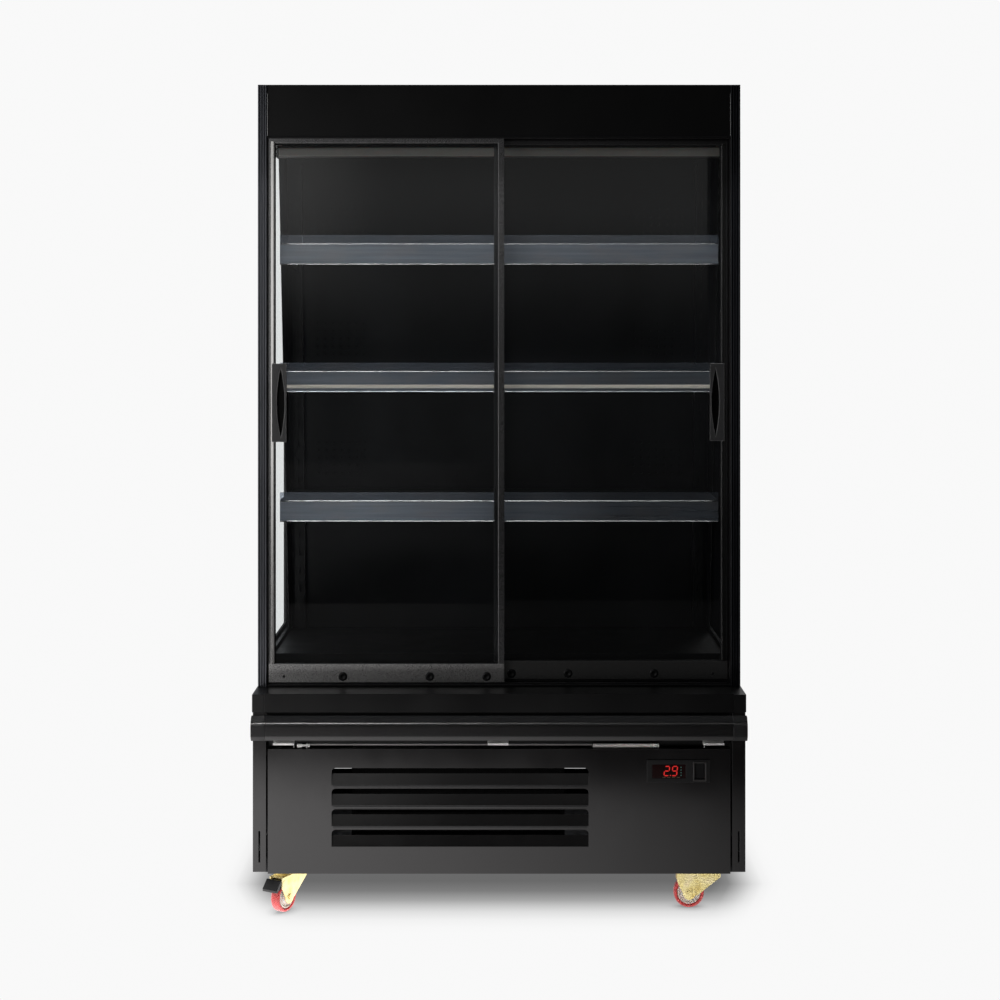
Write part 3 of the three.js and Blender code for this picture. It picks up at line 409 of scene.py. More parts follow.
BLACK = (0.0038, 0.0038, 0.0041)
LIT_FOOT_HEIGHT = 0.5965  # height of the doors' bottom edge, below which their rails are painted brighter as a highlight
MATERIALS = {
    "black_paint": coat("black_powder_coat", BLACK, 0.32, specular=0.4),
    "satin_black": coat("satin_black_panel", (0.0055, 0.0048, 0.0050), 0.16, specular=0.95, peel=0.000010,
                        smudge=0.05),
    "inside_paint": coat("inside_paint", (0.0032, 0.0035, 0.0042), 0.34, specular=0.4, peel=0.00003,
                         wear=0.3),
    "tub_skin": coat("tub_skin", BLACK, 0.36, specular=0.45, wear=0.3),
    "black_plastic": moulding("black_moulding", (0.0085, 0.0085, 0.0090), 0.42),
    "bumper": moulding("bumper_moulding", (0.0060, 0.0058, 0.0060), 0.26, depth=0.000006, specular=0.65),
    "rubber": moulding("gasket_rubber", (0.010, 0.010, 0.010), 0.62, grain=500.0, specular=0.3),
    # Lit and shaded copies of one anodised frame: the rear door's is painted darker as shade.
    "door_left": satin_metal("anodised_door_front", (0.24, 0.24, 0.245), 0.26,
                             foot=(LIT_FOOT_HEIGHT, (0.85, 0.845, 0.84))),
    "door_right": satin_metal("anodised_door_rear_painted_shade", (0.10, 0.10, 0.103), 0.28, edge_colour=(0.4, 0.4, 0.4),
                              foot=(LIT_FOOT_HEIGHT, (0.34, 0.34, 0.34))),
    # Lit and shaded copies of one anodised post: the right-hand one is painted darker as shade.
    "post": brushed("anodised_post", (0.125, 0.130, 0.145), 0.30, along="z"),
    "post_shaded": brushed("anodised_post_right_painted_shade", (0.022, 0.023, 0.027), 0.30, along="z",
                           edge_colour=(0.2, 0.2, 0.2)),
    "track": brushed("anodised_track", (0.05, 0.05, 0.052), 0.34),
    # The lamp's aluminium body is painted very dark as shade.
    "lamp_body_painted_shade": brushed("lamp_body_painted_shade", (0.060, 0.059, 0.057), 0.34, edge_colour=(0.2, 0.2, 0.2)),
    # Lit and shaded copies of one polished cap: the rear door's is painted darker as shade.
    "stile_cap": brushed("polished_stile_cap", (0.60, 0.595, 0.585), 0.20, along="z", streak=0.05),
    "stile_cap_shaded": brushed("polished_stile_cap_rear_painted_shade", (0.13, 0.13, 0.128), 0.20, along="z", streak=0.05),
    "moulded_edge": satin_metal("moulded_edge", (0.20, 0.205, 0.21), 0.16),
    "bright_trim": brushed("bright_trim", (0.45, 0.45, 0.45), 0.25, along="z", edge_colour=(0.6, 0.6, 0.6)),
    "fins": fin_pack("coil_fins", (0.05, 0.05, 0.05), (0.50, 0.49, 0.47), (0.16, 0.14, 0.12)),
    # The condenser coil is painted near black as shade; its dust colour is painted shade too.
    "shade_painted_fins": fin_pack("coil_fins_painted_shade", (0.001, 0.001, 0.001), (0.006, 0.006, 0.006),
                           (0.004, 0.0038, 0.0035)),
    "galvanised": galvanised("galvanised_sheet_painted_shade"),
    "yellow_zinc": yellow_zinc("yellow_zinc_plate"),
    "red_tread": polyurethane("red_polyurethane"),
    "hub": plain_plastic("wheel_hub", (0.62, 0.55, 0.50), 0.40),
    "nylon": plain_plastic("white_nylon", (0.70, 0.69, 0.66)),
    "grey_pipe": plain_plastic("grey_pipe", (0.66, 0.63, 0.63), 0.42),
    "retainer": satin_metal("retainer_strip", (0.30, 0.29, 0.29), 0.34),
    "soft_rim": plain_plastic("switch_rim", (0.050, 0.048, 0.047), 0.38),
    "zinc": brushed("zinc_plate", (0.94, 0.93, 0.92), 0.36, metallic=0.35, edge_colour=(0.95, 0.95, 0.95)),
    "door_glass": sheet_glass("door_glass", (0.965, 0.975, 0.975), 0.30, 0.004),
    "end_glass_left": sheet_glass("end_glass_left", (0.985, 0.990, 0.988), 0.06, 0.006),
    # The right-hand end glass has a painted dark reflection at glancing views.
    "end_glass_right": sheet_glass("end_glass_right", (0.985, 0.990, 0.988), 0.25, 0.006,
                                   glancing_shade=0.97),
    "diffuser": diffuser("lamp_diffuser"),
    "card": card("cream_card"),
    "lens": dark_lens("display_lens"),
    "digit": glowing("display_digit", (1.0, 0.035, 0.03), 0.62),
    # The touch keys are unlit; their faint glow is painted light.
    "unlit": glowing("keys_amber_painted_glow", (0.30, 0.22, 0.12), 0.12),
    "indicator": glowing("indicator_green", (0.10, 0.30, 0.26), 0.35),
}

WELL = 0.0015  # how far behind its face a door pull's finger well, with its painted shade, starts
# Painted highlight round a door pull's finger well: its level, amount and width.
PULL_PAINTED_HIGHLIGHT = (0.26, 0.95, 0.0022)
for side in SIDES:
    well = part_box(f"door_{side}_handle")[0].y + WELL
    pull = moulding(f"door_pull_{side}", (0.024, 0.024, 0.025), 0.30, specular=0.7, rim=PULL_PAINTED_HIGHLIGHT, well=well)
    MATERIALS[f"pull_{side}"] = pull

LIP = 0.0210  # how far a price strip's clear lip stands above its card channel
# Painted shade: how light each price strip is at its left and at its right.
STRIP_PAINTED_FALLOFF = {"upper": (1.08, 0.85), "middle": (0.92, 0.42), "lower": (1.25, 0.28)}
for level, (left, right) in STRIP_PAINTED_FALLOFF.items():
    strip_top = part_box(f"price_strip_{level}")[1].z
    MATERIALS[f"strip_{level}"] = clear_strip(f"clear_strip_{level}", strip_top - LIP, left, right)


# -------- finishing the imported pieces

NODE_FINISH = {
    "black_paint": ("base_rear_grille", "ledge_fascia", "end_frame_left", "end_frame_right", "rear_wall",
                    "roof_panel", "header_fascia", "compressor"),
    "satin_black": ("front_panel", "base_side_left", "base_side_right"),
    "inside_paint": ("canopy_duct", "back_duct_panel", "shelf_upright_left", "shelf_upright_right",
                     "deck_panel", "return_air_grille", "shelf_upper", "shelf_middle", "shelf_lower"),
    "tub_skin": ("insulated_tub",),
    "black_plastic": ("controller_bezel", "light_switch", "condenser_fan", "castor_front_left_brake_pedal"),
    "bumper": ("bumper_rail",),
    "track": ("lower_track", "upper_track"),
    "lamp_body_painted_shade": ("led_lamp",),
    "fins": ("evaporator_coil",),
    "shade_painted_fins": ("condenser_coil",),
    "galvanised": ("chassis_tray", "fan_shroud"),
    "yellow_zinc": tuple(f"castor_{corner}_{part}" for corner in CORNERS for part in ("plate", "fork")),
    "nylon": tuple(f"door_{side}_{place}_roller" for side in SIDES for place in ("outer", "inner")),
    "door_glass": ("door_left_glass", "door_right_glass"),
}
for side in SIDES:
    NODE_FINISH[f"pull_{side}"] = (f"door_{side}_handle",)
    NODE_FINISH[f"door_{side}"] = (f"door_{side}_frame",)
    NODE_FINISH[f"end_glass_{side}"] = (f"end_glass_{side}",)
for level in LEVELS:
    NODE_FINISH[f"strip_{level}"] = (f"price_strip_{level}",)

# How wide the rounding of sharp edges is: that of formed sheet, unless the finish has its own.
FORMED_BEVEL = 0.0009
FINE_BEVEL = {"nylon": 0.0003, "fins": 0.0003, "shade_painted_fins": 0.0003, "yellow_zinc": 0.0005,
              "galvanised": 0.0005, "door_glass": 0.0006, "end_glass_left": 0.0006,
              "end_glass_right": 0.0006, "lamp_body_painted_shade": 0.0006, "bumper": 0.0024}
for level in LEVELS:
    FINE_BEVEL[f"strip_{level}"] = 0.0004
SHARP = math.radians(32)  # an edge that turns more than this is rounded
SAME_POINT = 0.00002  # corners closer than this are one
SAME_FLAT = math.radians(0.8)  # faces that turn less than this are one


def soften(thing, width):
    """Rounds the sharp edges and shades the flats flat."""
    bevel = thing.modifiers.new("rounded_edges", "BEVEL")
    bevel.width = width
    bevel.segments = 2
    bevel.limit_method = "ANGLE"
    bevel.angle_limit = SHARP
    bevel.use_clamp_overlap = True
    bevel.harden_normals = False
    weighted = thing.modifiers.new("even_shading", "WEIGHTED_NORMAL")
    weighted.keep_sharp = False


def finish_packed_node(name, finish):
    """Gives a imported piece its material, joins its flat faces and rounds its sharp edges."""
    thing = frame["nodes"][name]
    mesh = thing.data
    for attribute in ("custom_normal", "sharp_edge", "sharp_face"):
        if attribute in mesh.attributes:
            mesh.attributes.remove(mesh.attributes[attribute])
    for face in mesh.polygons:
        face.use_smooth = True
    mesh.materials.clear()
    mesh.materials.append(MATERIALS[finish])
    weld = thing.modifiers.new("weld", "WELD")
    weld.merge_threshold = SAME_POINT
    flat = thing.modifiers.new("flat_faces", "DECIMATE")
    flat.decimate_type = "DISSOLVE"
    flat.angle_limit = SAME_FLAT
    soften(thing, FINE_BEVEL.get(finish, FORMED_BEVEL))


for finish, names in NODE_FINISH.items():
    for name in names:
        finish_packed_node(name, finish)


# -------- shape helpers


def turned(*rows):
    return Matrix(rows).to_4x4()


# How a shape's local axes lie in the case.
UPRIGHT = Matrix.Identity(4)
ACROSS = turned((0, 0, 1), (1, 0, 0), (0, 1, 0))  # x back, y up, z to the right
FORWARD = turned((1, 0, 0), (0, 0, -1), (0, 1, 0))  # x to the right, y up, z forward
BACKWARD = turned((-1, 0, 0), (0, 0, 1), (0, 1, 0))  # x to the left, y up, z back


def facing_front(x, y, z):
    return Matrix.Translation((x, y, z)) @ FORWARD


def facing_back(x, y, z):
    return Matrix.Translation((x, y, z)) @ BACKWARD


def about_axis(point, axis):
    """Local z lies along an axis through a point."""
    return Matrix.Translation(point) @ Vector(axis).to_track_quat("Z", "Y").to_matrix().to_4x4()


def piece(name, shape, material, body="case", round_edges=0.0, slot=None):
    """Turns a bmesh into a named object that rides on a body."""
    bmesh.ops.recalc_face_normals(shape, faces=shape.faces)
    mesh = bpy.data.meshes.new(name)
    shape.to_mesh(mesh)
    shape.free()
    for face in mesh.polygons:
        face.use_smooth = True
    thing = start_object(name, mesh)
    mesh.materials.append(MATERIALS[material])
    if round_edges:
        soften(thing, round_edges)
    else:
        thing.modifiers.new("even_shading", "WEIGHTED_NORMAL").keep_sharp = False
    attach(thing, body)
    return thing


def add_prism(shape, outline, low, high, place):
    """An outline in local (x, y), raised from low to high along local z."""
    bottom = [shape.verts.new(place @ Vector((x, y, low))) for x, y in outline]
    top = [shape.verts.new(place @ Vector((x, y, high))) for x, y in outline]
    shape.faces.new(list(reversed(bottom)))
    shape.faces.new(top)
    for i in range(len(outline)):
        j = (i + 1) % len(outline)
        shape.faces.new((bottom[i], bottom[j], top[j], top[i]))


def add_box(shape, low, high):
    (x0, y0, z0), (x1, y1, z1) = low, high
    add_prism(shape, rectangle(x0, x1, y0, y1), z0, z1, UPRIGHT)


def add_lathe(shape, profile, place, segments=32, closed=False):
    """A profile of (radius, height) turned about local z. An open profile starts and ends on the axis."""
    turns = [2 * math.pi * i / segments for i in range(segments)]
    rings = []
    for radius, height in profile:
        points = [(radius * math.cos(turn), radius * math.sin(turn), height) for turn in turns]
        if radius == 0:
            points = [(0, 0, height)]
        rings.append([shape.verts.new(place @ Vector(point)) for point in points])
    if closed:
        rings.append(rings[0])
    for a, b in zip(rings, rings[1:]):
        for i in range(segments):
            j = (i + 1) % segments
            if len(a) == 1:
                shape.faces.new((a[0], b[j], b[i]))
            elif len(b) == 1:
                shape.faces.new((a[i], a[j], b[0]))
            else:
                shape.faces.new((a[i], a[j], b[j], b[i]))


def neighbours(path, i):
    """The corner before, this one and the one after, round a closed path."""
    return Vector(path[i - 1]), Vector(path[i]), Vector(path[(i + 1) % len(path)])


SHARPEST_MITRE = 0.2


def add_loop(shape, path, section, place):
    """A small section carried round a closed path in local (x, y). A section point is (inset, height)."""
    count = len(path)
    rings = []
    for i in range(count):
        before, here, after = neighbours(path, i)
        into = (here - before).normalized()
        out = (after - here).normalized()
        mitre = Vector((-into.y - out.y, into.x + out.x))
        mitre = mitre / max(SHARPEST_MITRE, mitre.dot(Vector((-into.y, into.x))))
        points = [(*(here + mitre * inset), height) for inset, height in section]
        rings.append([shape.verts.new(place @ Vector(point)) for point in points])
    for i in range(count):
        a, b = rings[i], rings[(i + 1) % count]
        for j in range(len(section)):
            k = (j + 1) % len(section)
            shape.faces.new((a[j], b[j], b[k], a[k]))


def rectangle(x0, x1, y0, y1):
    return [(x0, y0), (x1, y0), (x1, y1), (x0, y1)]


def rounded(corners, radius, steps=5):
    """The corners of an outline, each replaced by a short curve."""
    path = []
    for i in range(len(corners)):
        before, here, after = neighbours(corners, i)
        start = here + (before - here).normalized() * radius
        end = here + (after - here).normalized() * radius
        for step in range(steps + 1):
            t = step / steps
            path.append(tuple(start * (1 - t) ** 2 + here * 2 * t * (1 - t) + end * t**2))
    return path


def bar(name, outline, start, end, *finish, **more):
    """One section that runs across the case from start to end."""
    shape = bmesh.new()
    add_prism(shape, outline, start, end, ACROSS)
    piece(name, shape, *finish, **more)


# -------- pieces on the body

header_low, header_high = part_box("header_fascia")
post_low, post_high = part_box("end_frame_left")
panel_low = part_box("front_panel")[0]
bumper_low, bumper_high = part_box("bumper_rail")
bezel_low, bezel_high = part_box("controller_bezel")
lamp_low, lamp_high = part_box("led_lamp")


def post_trim(side, sign):
    """Ribbed aluminium section that covers the front edge of an end frame."""
    outer, inner = 0.597, 0.5735
    ribs = 4
    rib = (outer - inner) / ribs
    groove, crown = 0.0010, 0.0014  # how thick the section is in a groove, and how far a rib stands above it
    gap = 0.0005
    outline = [(outer, 0.0), (inner, 0.0)]
    for i in range(ribs):
        for t in (0.06, 0.2, 0.5, 0.8, 0.94):
            lift = groove + crown * math.sin(math.pi * t) ** 0.6
            outline.append((inner + rib * (i + t), -lift))
    shape = bmesh.new()
    points = [(sign * x, post_low.y + y) for x, y in outline]
    add_prism(shape, points, post_low.z + gap, post_high.z - gap, UPRIGHT)
    # The right-hand trim takes the copy painted darker as shade.
    finish = "post" if side == "left" else "post_shaded"
    piece(f"post_trim_{side}", shape, finish, slot="anodised")


def header_trim(side, sign):
    """Bright strip between the header and the end frame."""
    inner, outer = sorted((sign * 0.5719, sign * 0.5734))
    foot, top = 1.904, header_high.z - 0.022
    front = header_low.y
    shape = bmesh.new()
    add_box(shape, (inner, front - 0.0010, foot), (outer, front + 0.0002, top))
    piece(f"header_trim_{side}", shape, "bright_trim", round_edges=0.0004, slot="bare_aluminium")


def end_window_seal(side, sign):
    """Black gasket on the outer face of the end glass, round the opening in the end frame."""
    low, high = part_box(f"end_glass_{side}")
    rebate = 0.007
    face = max(abs(low.x), abs(high.x)) + 0.0001
    opening = rectangle(low.y + rebate, high.y - rebate, low.z + rebate, high.z - rebate)
    section = [(0.0, 0.0), (0.003, 0.0), (0.0028, 0.0020), (0.0012, 0.0068), (0.0, 0.0072)]
    outwards = turned((0, 0, sign), (1, 0, 0), (0, 1, 0))
    shape = bmesh.new()
    add_loop(shape, rounded(opening, 0.008), section, Matrix.Translation((sign * face, 0, 0)) @ outwards)
    piece(f"end_window_seal_{side}", shape, "rubber", round_edges=0.0004, slot="black_plastic")


def bumper_cap(side, sign):
    """Moulded end cap that closes the bumper section and wraps round its corner."""
    front, back = bumper_low.y, panel_low.y - 0.0003
    low, high = bumper_low.z, bumper_high.z
    proud = 0.0008
    outline = [
        (back, low - proud),
        (front + 0.007, low - proud),
        (front - proud, low + 0.0108),
        (front - proud, high - 0.026),
        (front + 0.0008, high - 0.0185),
        (front + 0.005, high - 0.0118),
        (back, high + proud),
    ]
    start, end = sorted((sign * 0.566, sign * 0.6008))
    bar(f"bumper_cap_{side}", outline, start, end, "black_plastic", round_edges=0.0016, slot="black_plastic")


SHEET, FOLD = 0.0012, 0.0013  # thickness of the retainer's and clips' upright walls, and of their floors


def bumper_retainer():
    """Thin aluminium strip under the bumper, that its clips hook over."""
    front, back = -0.3335, -0.3290
    foot, top = 0.4170, 0.4202
    outline = [
        (front, foot),
        (front, top),
        (back, top),
        (back, top - SHEET),
        (front + FOLD, top - SHEET),
        (front + FOLD, foot),
    ]
    shape = bmesh.new()
    for start, end in ((-0.4590, -0.0290), (0.0240, 0.2250)):
        add_prism(shape, outline, start, end, ACROSS)
    piece("bumper_retainer", shape, "retainer", round_edges=0.0003, slot="bare_aluminium")


def bumper_clips():
    """Plated clips that hold the bumper section to the tub, in the gap above the front panel."""
    front, back = -0.3325, -0.3170
    foot, lip, top = 0.4165, 0.4215, 0.4290
    half = 0.0255
    hook = [
        (front, lip),
        (front, foot),
        (back, foot),
        (back, top),
        (back - SHEET, top),
        (back - SHEET, foot + FOLD),
        (front + SHEET, foot + FOLD),
        (front + SHEET, lip),
    ]
    for name, x in (("left", -0.5232), ("centre", -0.0024), ("right", 0.5208)):
        bar(f"bumper_clip_{name}", hook, x - half, x + half, "zinc", round_edges=0.0004, slot="galvanised")


def panel_latch():
    """Small spring latch beside the left clip, that holds the top edge of the front panel."""
    housing = ((-0.4905, -0.3290, 0.4105), (-0.4790, -0.3175, 0.4180))
    bolt = ((-0.4800, -0.3270, 0.4122), (-0.4690, -0.3195, 0.4168))
    plate = ((-0.4685, -0.3285, 0.4095), (-0.4655, -0.3175, 0.4190))
    keeper = ((-0.4645, -0.3270, 0.4110), (-0.4600, -0.3185, 0.4175))
    shape = bmesh.new()
    for low, high in (housing, bolt, plate, keeper):
        add_box(shape, low, high)
    piece("panel_latch", shape, "zinc", round_edges=0.0006, slot="galvanised")


def drain_pipe():
    """Grey pipe across the gap under the bumper, with a ribbed coupling at its right end."""
    radius = 0.0048
    start, end, y, z = 0.228, 0.366, -0.3232, 0.4142
    shape = bmesh.new()
    profile = [(0.0, 0.0), (radius, 0.0), (radius, end - start), (0.0, end - start)]
    add_lathe(shape, profile, about_axis((start, y, z), (1, 0, 0)), 20)
    piece("drain_pipe", shape, "grey_pipe", slot="nylon")
    ribs, pitch = 4, 0.0058
    neck, crown = 0.0040, 0.0054
    coupling = [(0.0, 0.0)]
    for i in range(ribs):
        along = 0.0005 + i * pitch
        coupling += [(neck, along), (crown, along + 0.0008), (crown, along + 0.0036), (neck, along + 0.0044)]
    coupling.append((0.0, along + 0.0046))
    shape = bmesh.new()
    add_lathe(shape, coupling, about_axis((end + 0.0002, y, z), (1, 0, 0)), 24)
    piece("drain_pipe_coupling", shape, "nylon", slot="nylon")


def lamp_diffuser():
    """Frosted cover on the lamp's front."""
    front, low, top = lamp_low.y, lamp_low.z, lamp_high.z
    outline = [
        (front - 0.0002, top - 0.0010),
        (front - 0.0012, top - 0.0010),
        (front - 0.0020, top - 0.0025),
        (front - 0.0020, low + 0.0050),
        (front - 0.0012, low + 0.0035),
        (front - 0.0002, low + 0.0035),
    ]
    half = 0.5605
    bar("lamp_diffuser", outline, -half, half, "diffuser", round_edges=0.0005, slot="nylon")


def lamp_ends():
    """Black end caps on the lamp."""
    front, back = lamp_low.y - 0.002, lamp_high.y + 0.001
    foot, top = lamp_low.z - 0.002, lamp_high.z
    for side, sign in SIDES.items():
        start, end = sorted((sign * 0.5612, sign * 0.5660))
        shape = bmesh.new()
        add_box(shape, (start, front, foot), (end, back, top))
        piece(f"lamp_end_{side}", shape, "black_plastic", round_edges=0.0020, slot="black_plastic")


def strip_edges(level):
    """Moulded bead along the top of the card channel, and the rolled foot, of one price strip."""
    low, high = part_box(f"price_strip_{level}")
    face = low.y - 0.0001
    bend = 0.0065
    turns = [math.radians(angle) for angle in (10, 15, 20, 25, 30, 35)]
    shape = bmesh.new()
    for foot in (high.z - 0.0236, low.z + 0.0001):
        curve = []
        for turn in turns:
            out = bend * (math.cos(turn) - math.cos(turns[-1]))
            up = bend * (math.sin(turn) - math.sin(turns[0]))
            curve.append((face - out, foot + up))
        outline = [(face, foot), *curve, (face, curve[-1][1] + 0.0002)]
        add_prism(shape, outline, low.x + 0.0005, high.x - 0.0005, ACROSS)
    piece(f"price_strip_{level}_beads", shape, "moulded_edge", slot="nylon")


def price_card():
    """Narrow cream card in the foot of the middle strip, its top edge curling back."""
    low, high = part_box("price_strip_middle")
    front, thick, end_gap = low.y - 0.0002, 0.0003, 0.004
    profile = [(0.0002, 0.0100), (0.0012, 0.0128), (0.0014, 0.0150), (0.0011, 0.0172), (0.0004, 0.0188),
               (0.0, 0.0192)]
    outer = [(front - out - thick, low.z + z) for out, z in profile]
    inner = [(front - out, low.z + z) for out, z in reversed(profile)]
    bar("price_card_middle", outer + inner, low.x + end_gap, high.x - end_gap, "card", slot="nylon")


def pan_head(shape, place, radius=0.0042):
    """A pan-head screw with a round recess, standing on local z = 0."""
    profile = [(0.0, 0.0), (1.0, 0.0), (1.0, 0.0009), (0.86, 0.0020), (0.5, 0.0026), (0.32, 0.0027)]
    recess = [(0.24, 0.0014), (0.0, 0.0012)]
    add_lathe(shape, [(radius * part, height) for part, height in profile + recess], place, 20)


def rear_screws():
    """Screws round the slotted rear panel of the base."""
    low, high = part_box("base_rear_grille")
    edge = 0.018
    shape = bmesh.new()
    for x in (-0.555, -0.19, 0.19, 0.555):
        for z in (low.z + edge, high.z - edge):
            pan_head(shape, facing_back(x, high.y, z))
    piece("rear_grille_screws", shape, "zinc", slot="galvanised")


for side, sign in SIDES.items():
    post_trim(side, sign)
    header_trim(side, sign)
    bumper_cap(side, sign)
    end_window_seal(side, sign)
bumper_retainer()
bumper_clips()
panel_latch()
drain_pipe()
lamp_diffuser()
lamp_ends()
for level in LEVELS:
    strip_edges(level)
price_card()
rear_screws()


# -------- controller and light switch

# Which of the seven bars are lit: top, upper left, upper right, middle, lower left, lower right, bottom.
LIT_BARS = {"2": (1, 0, 1, 1, 1, 0, 1), "9": (1, 1, 1, 1, 0, 1, 1)}


def digit(shape, number, place):
    """A seven-bar figure in local (x, y), slanted a little to the right."""
    width, height, thick = 0.0115, 0.0225, 0.0026
    half = height / 2
    split = 0.0008  # from the middle of a corner to the end of each bar
    bars = [
        ((0, height), (width, height)),
        ((0, half), (0, height)),
        ((width, half), (width, height)),
        ((0, half), (width, half)),
        ((0, 0), (0, half)),
        ((width, 0), (width, half)),
        ((0, 0), (width, 0)),
    ]
    slant = turned((1, 0.12, 0), (0, 1, 0), (0, 0, 1))
    for lit, (start, end) in zip(LIT_BARS[number], bars):
        if not lit:
            continue
        a, b = Vector(start), Vector(end)
        along = (b - a).normalized()
        side = Vector((-along.y, along.x)) * thick / 2
        a, b = a + along * split, b - along * split
        tip = along * thick / 2
        outline = [a, a + tip - side, b - tip - side, b, b - tip + side, a + tip + side]
        add_prism(shape, [tuple(p) for p in outline], 0.0, 0.0003, place @ slant)


def display():
    """Smoked window with the temperature, a row of indicators and a line of touch keys."""
    left, right = bezel_low.x + 0.0125, bezel_low.x + 0.0935
    low, high = bezel_low.z + 0.0105, bezel_high.z - 0.0105
    back, thick = bezel_low.y + 0.0014, 0.0011
    front = back - thick
    shape = bmesh.new()
    window = rounded(rectangle(left, right, low, high), 0.002, 4)
    add_prism(shape, window, 0.0, thick, facing_front(0, back, 0))
    piece("display_window", shape, "lens", round_edges=0.0003, slot="black_plastic")
    shape = bmesh.new()
    for number, along in (("2", 0.0285), ("9", 0.0475)):
        digit(shape, number, facing_front(left + along, front, low + 0.0062))
    half = 0.0013
    point = rounded(rectangle(-half, half, -half, half), 0.0008, 3)
    add_prism(shape, point, 0.0, 0.0003, facing_front(left + 0.0442, front, low + 0.0066))
    piece("display_digits", shape, "digit")
    shape = bmesh.new()
    dome = [(0.0, 0.0), (0.0012, 0.0), (0.0010, 0.0004), (0.0, 0.0005)]
    for i in range(4):
        add_lathe(shape, dome, facing_front(left + 0.0700, front, low + 0.0070 + i * 0.0064), 16)
    piece("display_indicators", shape, "indicator")
    shape = bmesh.new()
    for i in range(4):
        x = left + 0.0250 + i * 0.0115
        key = rounded(rectangle(x, x + 0.0075, low + 0.0016, low + 0.0028), 0.0004, 3)
        add_prism(shape, key, 0.0, 0.0002, facing_front(0, front, 0))
    piece("display_keys", shape, "unlit")


def switch_rim():
    """Raised rim round the light switch's well."""
    x, z = 0.486, 0.355
    across, up = 0.0165, 0.0235
    path = rounded(rectangle(x - across, x + across, z - up, z + up), 0.003, 4)
    section = [(0.0, 0.0), (0.0, 0.0016), (0.0008, 0.0024), (0.0030, 0.0024), (0.0040, 0.0010), (0.0040, 0.0)]
    shape = bmesh.new()
    add_loop(shape, path, section, facing_front(0, bezel_low.y - 0.0001, 0))
    piece("light_switch_rim", shape, "soft_rim", round_edges=0.0003, slot="black_plastic")


display()
switch_rim()


# -------- doors

STILE, TOP_RAIL, BOTTOM_RAIL = 0.015, 0.030, 0.046
PANE = 0.0026  # from the middle of a door to the face of its glass
PLUG_REACHES = (0.184, 0.399, 0.540)  # from a door's outer edge to each plug in its bottom rail
SCREW_REACH = 0.0380
FIXING_HEIGHT = 0.0150  # of the plugs and screw, above the door's bottom edge


def door_gaskets(side, low, high):
    """Rubber round both faces of a door's glass."""
    window = rectangle(low.x + STILE, high.x - STILE, low.z + BOTTOM_RAIL, high.z - TOP_RAIL)
    section = [(0.0, 0.0), (0.0014, 0.0), (0.0013, 0.0018), (0.0006, 0.0042), (0.0, 0.0042)]
    section = [(inset, PANE + height) for inset, height in section]
    middle = Matrix.Translation((0, (low.y + high.y) / 2, 0))
    for which, turn in (("front", FORWARD), ("back", turned((1, 0, 0), (0, 0, 1), (0, 1, 0)))):
        shape = bmesh.new()
        add_loop(shape, window, section, middle @ turn)
        name = f"door_{side}_gasket_{which}"
        piece(name, shape, "rubber", f"door_{side}", round_edges=0.0004, slot="black_plastic")


def door_stile_cap(side, sign, low, high):
    """Polished strip along the inner half of the door's outer stile, leaning towards the glass."""
    outer = low.x if side == "left" else high.x
    inner_edge = outer - sign * STILE
    section = [(0.0, 0.0), (0.0, 0.0014), (0.0006, 0.0018), (0.0045, 0.0017), (0.0092, 0.0010),
               (0.0100, 0.0005), (0.0100, 0.0)]
    points = [(inner_edge + sign * across, low.y - 0.0001 - lift) for across, lift in section]
    shape = bmesh.new()
    add_prism(shape, points, low.z + BOTTOM_RAIL + 0.0005, high.z - 0.0260, UPRIGHT)
    # The rear door's cap takes the copy painted darker as shade.
    finish = "stile_cap" if side == "left" else "stile_cap_shaded"
    piece(f"door_{side}_stile_cap", shape, finish, f"door_{side}", slot="bare_aluminium")


def door_fixings(side, sign, low, high):
    """Domed plugs and a small screw in the bottom rail."""
    outer = low.x if side == "left" else high.x
    dome = [(0.0, 0.0), (0.0110, 0.0), (0.0110, 0.0012), (0.0100, 0.0024), (0.0076, 0.0032), (0.0050, 0.0030),
            (0.0042, 0.0018), (0.0, 0.0016)]
    height = low.z + FIXING_HEIGHT
    shape = bmesh.new()
    for reach in PLUG_REACHES:
        add_lathe(shape, dome, facing_front(outer - sign * reach, low.y, height), 36)
    piece(f"door_{side}_plugs", shape, "black_plastic", f"door_{side}", slot="black_plastic")
    shape = bmesh.new()
    pan_head(shape, facing_front(outer - sign * SCREW_REACH, low.y, height), 0.0034)
    piece(f"door_{side}_screw", shape, "black_plastic", f"door_{side}", slot="black_plastic")


for side, sign in SIDES.items():
    low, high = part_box(f"door_{side}_frame")
    door_gaskets(side, low, high)
    door_stile_cap(side, sign, low, high)
    door_fixings(side, sign, low, high)


# -------- castor wheels


def both_sides(half):
    """A profile of (radius, height) and its mirror image, as one closed outline."""
    return half + [(radius, -height) for radius, height in reversed(half)]


TREAD = both_sides([(0.0288, -0.0098), (0.0322, -0.0118), (0.0348, -0.0120), (0.0364, -0.0103),
                    (0.0373, -0.0070)])
TREAD.insert(len(TREAD) // 2, (0.0375, 0.0))  # the middle of the rolling face
HUB = both_sides([(0.0286, 0.0096), (0.0270, 0.0110), (0.0250, 0.0108), (0.0238, 0.0070), (0.0150, 0.0062),
                  (0.0126, 0.0120), (0.0105, 0.0148), (0.0045, 0.0150)])


def castor_wheel(corner, joint):
    """Rounded tread on a dished hub, turned about the wheel's axle."""
    wheel = f"castor_{corner}_wheel"
    place = about_axis(joint["pos_m"], joint["axis"])
    parts = (("tread", TREAD, "red_tread", "red_tread"), ("hub", HUB, "hub", "nylon"))
    for part, profile, finish, slot in parts:
        shape = bmesh.new()
        add_lathe(shape, profile, place, 72, closed=True)
        made = piece(f"castor_{corner}_{part}", shape, finish, wheel, slot=slot)
        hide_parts(wheel)


